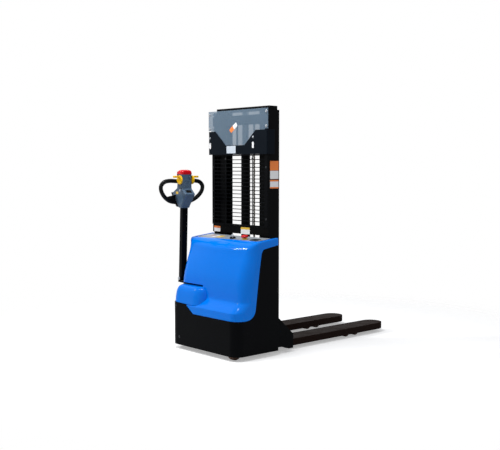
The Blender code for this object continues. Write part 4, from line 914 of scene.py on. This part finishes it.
# %% [markdown]
# Every wheel takes its centre from its own joint, so it turns where its axle is. One row of four
# sizes describes each kind.

# %% Rollers and castor
LOAD_ROLLER = (0.040, 0.075, 0.0073, 0.024)   # radius, width, bore, hub radius
CARRIAGE_ROLLER = (0.028, 0.058, 0.0123, 0.020)
CASTOR = (0.0625, 0.040, 0.0063, 0.040)


def joint_at(name):
    return DATUM.inverted() @ Vector(next(j for j in frame["joints"] if j["name"] == name)["pos_m"])


for side, _ in SIDES:
    for end in ("rear", "front"):
        name = f"load_roller_{side}_{end}"
        wheel(f"{name}_tyre", name, joint_at(f"{name}_spin"), *LOAD_ROLLER, cast_urethane, ground_steel,
              "urethane", [name])
    name = f"carriage_roller_{side}"
    wheel(f"{name}_ring", name, joint_at(f"{name}_turn"), *CARRIAGE_ROLLER, ground_steel, ground_steel,
          "bare_steel", [name], hub_in=0.002)
wheel("castor_tyre", "castor_wheel", joint_at("castor_wheel_spin"), *CASTOR, cast_urethane, slate_nylon,
      "rubber_tread", ["castor_wheel"])
print("castor centre:", [round(v, 3) for v in joint_at("castor_wheel_spin")])

# %% [markdown]
# The drive wheel rides on the steered gearbox, whose axle points along the steering rest angle. Its
# cast hub is dished on both faces and closed at the outer end, where the axle's nut would sit.

# %% Drive wheel
drive_ruler = Matrix.Translation(joint_at("drive_wheel_spin")) @ Matrix.Rotation(STEER_REST, 4, "Z")
DRIVE_R, half = 0.100, 0.035
rim = [(0.070, half - 0.004), (0.074, half), (DRIVE_R - 0.006, half), (DRIVE_R - 0.002, half - 0.002),
       (DRIVE_R, half - 0.006)]
tyre = [(r, -z) for r, z in rim] + rim[::-1] + [(0.070, -half + 0.004)]
mount("drive_tyre", lathe(tyre, axis="Y", around=96), cast_urethane, "drive_wheel", "urethane",
      ["drive_wheel"], drive_ruler, smooth=40)
dish = [(0.0183, half - 0.005), (0.040, half - 0.005), (0.044, half - 0.012), (0.062, half - 0.012),
        (0.066, half - 0.005), (0.0697, half - 0.005)]
core = [(r, -z) for r, z in dish] + dish[:0:-1]
core += [(0, half - 0.005), (0, half - 0.009), (0.0183, half - 0.009), (0.0183, -half + 0.005)]
mount("drive_hub", lathe(core, axis="Y", around=64), cast_alloy, "drive_wheel", "bare_steel", (), drive_ruler,
      smooth=40)
print("drive wheel centre:", [round(v, 3) for v in joint_at("drive_wheel_spin")])

# %% [markdown]
# ## Lift chains
#
# A leaf chain is stacks of small plates on pins. It runs from the cylinder's collar over a pulley
# on the piston yoke and down to the carriage, which doubles the stroke. The run behind grows and
# the run in front shortens as the mast rises; here both runs stay fixed in the frame on no body.

# %% Chain runs
PULLEY_R, PULLEY_W, PULLEY_Y, PULLEY_Z, CHAIN_T = 0.032, 0.022, 0.065, 1.925, 0.008
CYL_TOP, LUG_Z = 1.700, 0.520
pulley_at = joint_at("chain_pulley_left_turn")
CHAIN_IN = PULLEY_R + 0.002 + CHAIN_T / 2
PITCH = 0.0127   # half an inch from pin to pin


def chain_run(points):
    """Leaf plates along a line of pin positions (x, z), as deep as the chain is thick."""
    bm = bmesh.new()
    reach = CHAIN_T / 2
    for i, (a, b) in enumerate(zip(points, points[1:])):
        a, b = Vector(a), Vector(b)
        along = (b - a).normalized()
        across = Vector((-along.y, along.x)) * reach * 0.96
        tail = along * reach * 0.55
        outline = [a - tail - across * 0.6, a - across, b - across, b + tail - across * 0.6,
                   b + tail + across * 0.6, b + across, a + across, a - tail + across * 0.6]
        leaves = (-0.0086, -0.0024, 0.0040) if i % 2 else (-0.0055, 0.0009, 0.0070)
        for low in leaves:
            rings = [[bm.verts.new((p.x, low + dy, p.y)) for p in outline] for dy in (0, 0.0017)]
            bm.faces.new(rings[0])
            bm.faces.new(reversed(rings[1]))
            for k in range(8):
                m = (k + 1) % 8
                bm.faces.new((rings[0][m], rings[0][k], rings[1][k], rings[1][m]))
    return bm


def straight(x, low, high):
    count = round((high - low) / PITCH)
    return [(x, low + (high - low) * k / count) for k in range(count + 1)]


print("leaves in a straight metre of chain:", 3 * (len(straight(0, 0, 1)) - 1))

# %% [markdown]
# The wrap over the pulley rides on the inner mast and stands for the CAD chain. The pulley itself is
# turned with a groove whose rims keep the leaves in place.

# %% Hang the chains on their pulleys
def place_chain(name, bm, y, body=None, stands_for=()):
    """Puts a run on one body, or leaves it fixed in the frame."""
    bmesh.ops.transform(bm, matrix=DATUM @ Matrix.Translation((0, y, 0)), verts=bm.verts)
    bmesh.ops.recalc_face_normals(bm, faces=bm.faces)
    obj = into_scene(name, bm, oiled_chain)
    if body:
        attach(obj, body)
    else:
        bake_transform(obj)
    label(obj, stands_for)


w = PULLEY_W / 2
half_groove = [(PULLEY_R + 0.0018, -w), (PULLEY_R + 0.003, -w + 0.0005), (PULLEY_R + 0.003, -w + 0.0012),
               (PULLEY_R, -w + 0.0018)]
groove = [(0.0083, -w)] + half_groove + [(r, -h) for r, h in half_groove[::-1]]
groove += [(0.0083, w), (0.0083, -w)]
x_rear, x_front = pulley_at.x - CHAIN_IN, pulley_at.x + CHAIN_IN
for side, sign in SIDES:
    y = sign * PULLEY_Y
    wrap = arc((pulley_at.x, PULLEY_Z), CHAIN_IN, 180, 0, 9)
    place_chain(f"leaf_chain_wrap_{side}", chain_run(wrap), y, body="inner_mast",
                stands_for=[f"lift_chain_{side}"])
    place_chain(f"leaf_chain_rear_{side}", chain_run(straight(x_rear, CYL_TOP + 0.004, PULLEY_Z)), y)
    place_chain(f"leaf_chain_front_{side}", chain_run(straight(x_front, LUG_Z + 0.004, PULLEY_Z)), y)
    mount(f"pulley_{side}", lathe(groove, (pulley_at.x, y, PULLEY_Z), "Y", 72), ground_steel,
          f"chain_pulley_{side}", "bare_steel", [f"chain_pulley_{side}"], smooth=40)
print("links in the front run:", len(straight(x_front, LUG_Z + 0.004, PULLEY_Z)) - 1)

# %% [markdown]
# ## Steel parts that keep their CAD shape
#
# Rails, plates, ties and forks are already right in the CAD model: they are cut, rolled or folded
# from flat stock. They only need their coat and the small broken edge that stops paint chipping, so
# each finish has a list of nodes and the width of that edge.

# %% Coats and broken edges on the CAD parts
COATS = {
    powder_coat: (["floor_plate", "drive_plate", "hydraulic_power_unit", "drive_unit", "tiller_base",
                   "support_leg_left", "support_leg_right", "outer_mast_foot", "mesh_guard"], 0.0012),
    mast_coat: (["outer_mast_left", "outer_mast_right", "outer_mast_mid_tie", "outer_mast_top_tie",
                 "inner_mast_left", "inner_mast_right", "inner_mast_top_tie", "inner_mast_bottom_tie",
                 "lift_cylinder", "carriage_frame"], 0.0018),
    fork_coat: (["fork_left", "fork_right"], 0.0020),
    hanger_coat: (["hanger_plate"], 0.0010),
    grey_panel: (["control_panel"], 0.0012),
    battery_coat: (["battery_pack"], 0.0040),
    black_nylon: (["drive_motor", "key_switch"], 0.0010),
    slate_nylon: (["horn_button", "lift_rocker"], 0.0010),
    yellow_abs: (["estop_collar"], 0.0012),
    cast_alloy: (["motor_controller"], 0.0020),
    ground_steel: (["steering_bearing", "ignition_key"], 0.0004),
    zinc_plate: (["castor_plate", "castor_fork", "bogie_left", "bogie_right"], 0.0010),
    hard_chrome: (["piston_rod"], 0.0006),
    clear_sheet: (["clear_guard"], 0.0006),
}
for coat, (names, edge) in COATS.items():
    for name in names:
        part = bpy.data.objects[name]
        for held in part.material_slots:
            held.material = coat
        weld = part.modifiers.new("weld", "WELD")   # joins split corners, so that edges can be rounded
        weld.merge_threshold = 0.00002
        soften(part, edge)
print("coated CAD parts:", sum(len(names) for names, _ in COATS.values()))

# %% [markdown]
# ## Fasteners
#
# Bolts are what make a machine readable: the guard, the shield and the hinge each hang on a few hex
# heads with washers. A head is turned with a chamfered top, and its socket or flats catch the light.

# %% Hex heads on washers
def bolts(name, places, axis, across, height, material, flip=-1, body="chassis", ruler=AT_REST):
    """Hex heads on washers; each place is the point on the surface, flip turns them round."""
    bm = bmesh.new()
    r = across / math.sqrt(3)
    washer = [(0, 0), (across * 0.92, 0), (across * 0.92, 0.0012), (across * 0.86, 0.0018), (0, 0.0018)]
    head = [(0, 0.0016), (r, 0.0016), (r, height * 0.8), (r * 0.86, height), (r * 0.5, height),
            (r * 0.46, height * 0.8), (0, height * 0.8)]
    for at in places:
        lathe([(a, flip * b) for a, b in washer], at, axis, 24, bm)
        lathe([(a, flip * b) for a, b in head], at, axis, 6, bm)
    mount(name, bm, material, body, "bare_steel", (), ruler, smooth=25)


SHEET_X, GUARD_X, HANGER_X = 0.3821, 0.400, 0.378
bolts("shield_bolts", [(SHEET_X, 0.363, 1.981), (SHEET_X, 0.358, 1.862), (SHEET_X, -0.358, 1.984),
                       (SHEET_X, -0.358, 1.866)], "X", 0.013, 0.007, zinc_plate)
bolts("guard_bolts", [(GUARD_X, y, z) for y, z in ((0.337, 1.531), (0.337, 1.107), (0.170, 1.605),
                                                   (-0.170, 1.605), (-0.337, 1.533), (-0.337, 1.109))],
      "X", 0.010, 0.006, black_oxide)
bolts("hanger_bolts", [(HANGER_X, 0.353, 1.782), (HANGER_X, -0.202, 1.781)], "X", 0.010, 0.005, zinc_plate)
bolts("skirt_bolts", [(0.0015, 0.354, 0.369), (-0.0003, 0.304, 0.106)], "X", 0.012, 0.006, black_oxide)
pin_end = ARM_HALF_W + 0.011
hinge_ruler = TILLER @ Matrix.Rotation(-TILLER_LEAN, 4, "Y")
for name, sign in (("hinge_bolt", 1), ("hinge_nut", -1)):
    bolts(name, [(0, sign * pin_end, 0)], "Y", 0.017, 0.006, zinc_plate, sign, "steering", hinge_ruler)
print("fasteners on, pieces so far:", len(made))

# %% [markdown]
# ## Patches
#
# Working machines carry coloured film patches. These are plain: blocks of colour with round corners,
# 0.4 mm proud of the paint, with nothing printed on them. A coloured band is a second film on the
# first, because the real ones are printed in two inks and the band has to stay crisp.

# %% Vinyl patches
FILM, AIR = 0.0004, 0.00005


def patch(name, axis, at, low, high, colour, lift=0.0, out=-1, corner=0.003, body="chassis", ruler=AT_REST):
    """A film on a flat face; at is the face, low and high are its corners in the other two axes."""
    face = at + out * lift
    sheet = plate(box_outline(low, high, corner), axis, *sorted((face + out * AIR, face + out * FILM)))
    mount(name, sheet, vinyl[colour], body, "grey_panel", (), ruler)


ON_MAST, ON_TIE = ("Y", -0.3508), ("X", 0.422 - 0.0003 - 0.0137)
ON_HANGER, ON_SHEET = ("X", HANGER_X), ("X", 0.3822)
patch("mast_patch_orange", *ON_MAST, (0.431, 1.507), (0.525, 1.584), "orange")
patch("mast_patch_white", *ON_MAST, (0.431, 1.438), (0.525, 1.505), "white")
patch("mast_patch_low", *ON_MAST, (0.431, 1.361), (0.525, 1.430), "white")
patch("mast_patch_low_band_top", *ON_MAST, (0.431, 1.418), (0.525, 1.430), "orange", FILM)
patch("mast_patch_low_band_foot", *ON_MAST, (0.431, 1.361), (0.525, 1.372), "orange", FILM)
patch("tie_patch_left", *ON_TIE, (0.252, 0.979), (0.334, 1.027), "white")
patch("tie_patch_left_band", *ON_TIE, (0.252, 1.010), (0.334, 1.027), "orange", FILM)
patch("tie_patch_middle", *ON_TIE, (-0.130, 0.975), (-0.017, 1.032), "white")
patch("tie_patch_middle_band", *ON_TIE, (-0.130, 1.014), (-0.017, 1.032), "yellow", FILM)
patch("flank_patch", "Y", -0.0503, (-0.052, HEAD_BASE + 0.116), (-0.018, HEAD_BASE + 0.138), "yellow",
      body="tiller", ruler=TILLER)
patch("hanger_patch", *ON_HANGER, (0.015, 1.650), (0.131, 1.712), "pale")
for side, y in (("left", 0.351), ("right", -0.201)):
    patch(f"hanger_mark_{side}", *ON_HANGER, (y - 0.011, 1.690), (y + 0.011, 1.742), "white", corner=0.009)
tilted = Matrix.Translation((0, 0.047, 1.864)) @ Matrix.Rotation(math.radians(-35), 4, "X")
patch("tag_orange", *ON_SHEET, (0.0005, -0.018), (0.052, 0.018), "orange", ruler=tilted)
patch("tag_white", *ON_SHEET, (-0.052, -0.018), (-0.0005, 0.018), "white", ruler=tilted)
print("patches on, pieces so far:", len(made))

# %% [markdown]
# The panel carries a film too, in grey with three coloured fields, and a dark window where the
# charge gauge sits. The gauge's bezel is a frame routed out of a thin black plate.

# %% Panel film, gauge window and bezel
PANEL = {"out": 1, "corner": 0.004, "ruler": on_panel(0.300, 0)}
WINDOW = ((-0.020, -0.345), (0.034, -0.271))
patch("panel_film", "Z", 0, (-0.024, 0.100), (0.086, 0.360), "silver", **PANEL)
patch("panel_film_yellow", "Z", 0, (-0.016, 0.115), (0.060, 0.168), "yellow", FILM, **PANEL)
patch("panel_film_orange", "Z", 0, (0.010, 0.238), (0.060, 0.280), "rose", FILM, **PANEL)
patch("panel_film_blank", "Z", 0, (-0.016, 0.185), (0.060, 0.226), "white", FILM, **PANEL)
patch("gauge_window", "Z", 0, *WINDOW, "dark", **PANEL)
bezel = carve(plate(box_outline((-0.026, -0.351), (0.040, -0.265), 0.008), "Z", AIR, 0.003),
              plate(box_outline(*WINDOW, 0.004), "Z", -0.01, 0.01))
mount("gauge_bezel", bezel, black_nylon, "chassis", "grey_panel", (), PANEL["ruler"], rounding=0.001)
print("panel dressed, pieces so far:", len(made))

# %% [markdown]
# ## Camera, light and floor
#
# The camera stands at the rear right at shoulder height, seven metres from the datum, with a lens a
# little longer than normal. From there the upright rails stay nearly parallel, as the eye expects of
# a tall frame.

# %% Camera
LENS_MM, SENSOR_MM, LOOK_DOWN, LOOK_ROUND = 61.71, 36, 3.82, 48.13
camera_data = bpy.data.cameras.new("camera")
camera_data.lens = LENS_MM
camera_data.sensor_width = SENSOR_MM
camera = bpy.data.objects.new("camera", camera_data)
camera.location = DATUM @ Vector((-4.3366, -5.4260, 1.5290))
camera.rotation_euler = (math.radians(90 - LOOK_DOWN), 0, math.radians(LOOK_ROUND - 90))
bpy.context.scene.collection.objects.link(camera)
bpy.context.scene.camera = camera
print("camera distance from the datum:", round((camera.location - DATUM.translation).length, 2))

# %% [markdown]
# Three area lamps light the machine as a product studio would. A wide one overhead gives the top
# faces and the ledge their light, a narrow one at the left draws a thin streak on the glossy cover,
# and a broad weak one at the right opens the dark side without being mirrored in it.

# %% Lamps
def lamp(name, at, target, size, power, mirrored=True):
    data = bpy.data.lights.new(name, "AREA")
    data.shape = "RECTANGLE"
    data.size, data.size_y = size
    data.energy = power
    obj = bpy.data.objects.new(name, data)
    obj.location = at
    obj.rotation_euler = (Vector(target) - Vector(at)).to_track_quat("-Z", "Y").to_euler()
    obj.visible_glossy = mirrored
    bpy.context.scene.collection.objects.link(obj)


lamp("overhead", (-1.6, -0.4, 4.2), (-0.2, 0, 0.6), (1.9, 0.7), 100)
lamp("left", (-3.4, 2.6, 3.5), (-0.5, 0.2, 0.8), (0.18, 0.9), 88)
lamp("right", (0.2, -4.6, 2.4), (0, 0, 0.9), (1.4, 1.8), 16, mirrored=False)

# %% [markdown]
# The world does two jobs. It fills the shadows with a weak cool light, and it is the white surround
# that the camera, polished metal and the clear sheet see. Light Path tells these rays apart.

# %% World
world = bpy.data.worlds.new("studio")
bpy.context.scene.world = world
world.use_nodes = True
tree = world.node_tree
tree.nodes.clear()
ray = add(tree, "LightPath")
seen = add(tree, "Math", {"operation": "MAXIMUM"},
           {0: ray.outputs["Is Camera Ray"], 1: ray.outputs["Is Glossy Ray"]})
seen_all = add(tree, "Math", {"operation": "MAXIMUM"},
               {0: seen.outputs[0], 1: ray.outputs["Is Transmission Ray"]})
ambient = add(tree, "Background", {"Color": (0.93, 0.95, 1, 1), "Strength": 0.34})
white = add(tree, "Background", {"Color": (1, 1, 1, 1), "Strength": 1.0})
both = add(tree, "MixShader", links={0: seen_all.outputs[0], 1: ambient.outputs[0], 2: white.outputs[0]})
add(tree, "OutputWorld", links={"Surface": both.outputs[0]})
print("world nodes:", len(tree.nodes))

# %% [markdown]
# The floor is matt white board. It keeps the machine's shadow near the wheels and grows transparent
# further out, so that no horizon shows. A little emission for the camera's rays alone lifts it to
# the white of the surround without throwing light on the machine.

# %% Floor
FADE_NEAR, FADE_FAR, FLOOR_R = 1.5, 3.2, 5.0


def pale_floor():
    material = bpy.data.materials.new("pale_studio_floor")
    material.use_nodes = True
    tree = material.node_tree
    shader = tree.nodes["Principled BSDF"]
    shader.inputs["Base Color"].default_value = (0.96, 0.96, 0.96, 1)
    shader.inputs["Roughness"].default_value = 0.8
    shader.inputs["Specular IOR Level"].default_value = 0.1
    shader.inputs["Emission Color"].default_value = (1, 1, 1, 1)
    place = add(tree, "TexCoord")
    far = add(tree, "VectorMath", {"operation": "LENGTH"}, {0: place.outputs["Object"]})
    fade = add(tree, "MapRange", {"From Min": FADE_NEAR, "From Max": FADE_FAR, "To Min": 1.0, "To Max": 0.0,
                                  "interpolation_type": "SMOOTHSTEP"}, {"Value": far.outputs["Value"]})
    ray = add(tree, "LightPath")
    lift = add(tree, "Math", {"operation": "MULTIPLY", 1: 0.36}, {0: ray.outputs["Is Camera Ray"]})
    tree.links.new(fade.outputs[0], shader.inputs["Alpha"])
    tree.links.new(lift.outputs[0], shader.inputs["Emission Strength"])
    return material


floor = into_scene("floor", lathe([(0, -0.0005), (FLOOR_R, -0.0005)], around=96), pale_floor())
bpy.context.scene.view_settings.view_transform = "Standard"
print("floor radius:", FLOOR_R)

# %% [markdown]
# ## Closing the frame
#
# The last cell counts the pieces that were made.

# %% Count the pieces and finish
print("pieces made:", len(made))
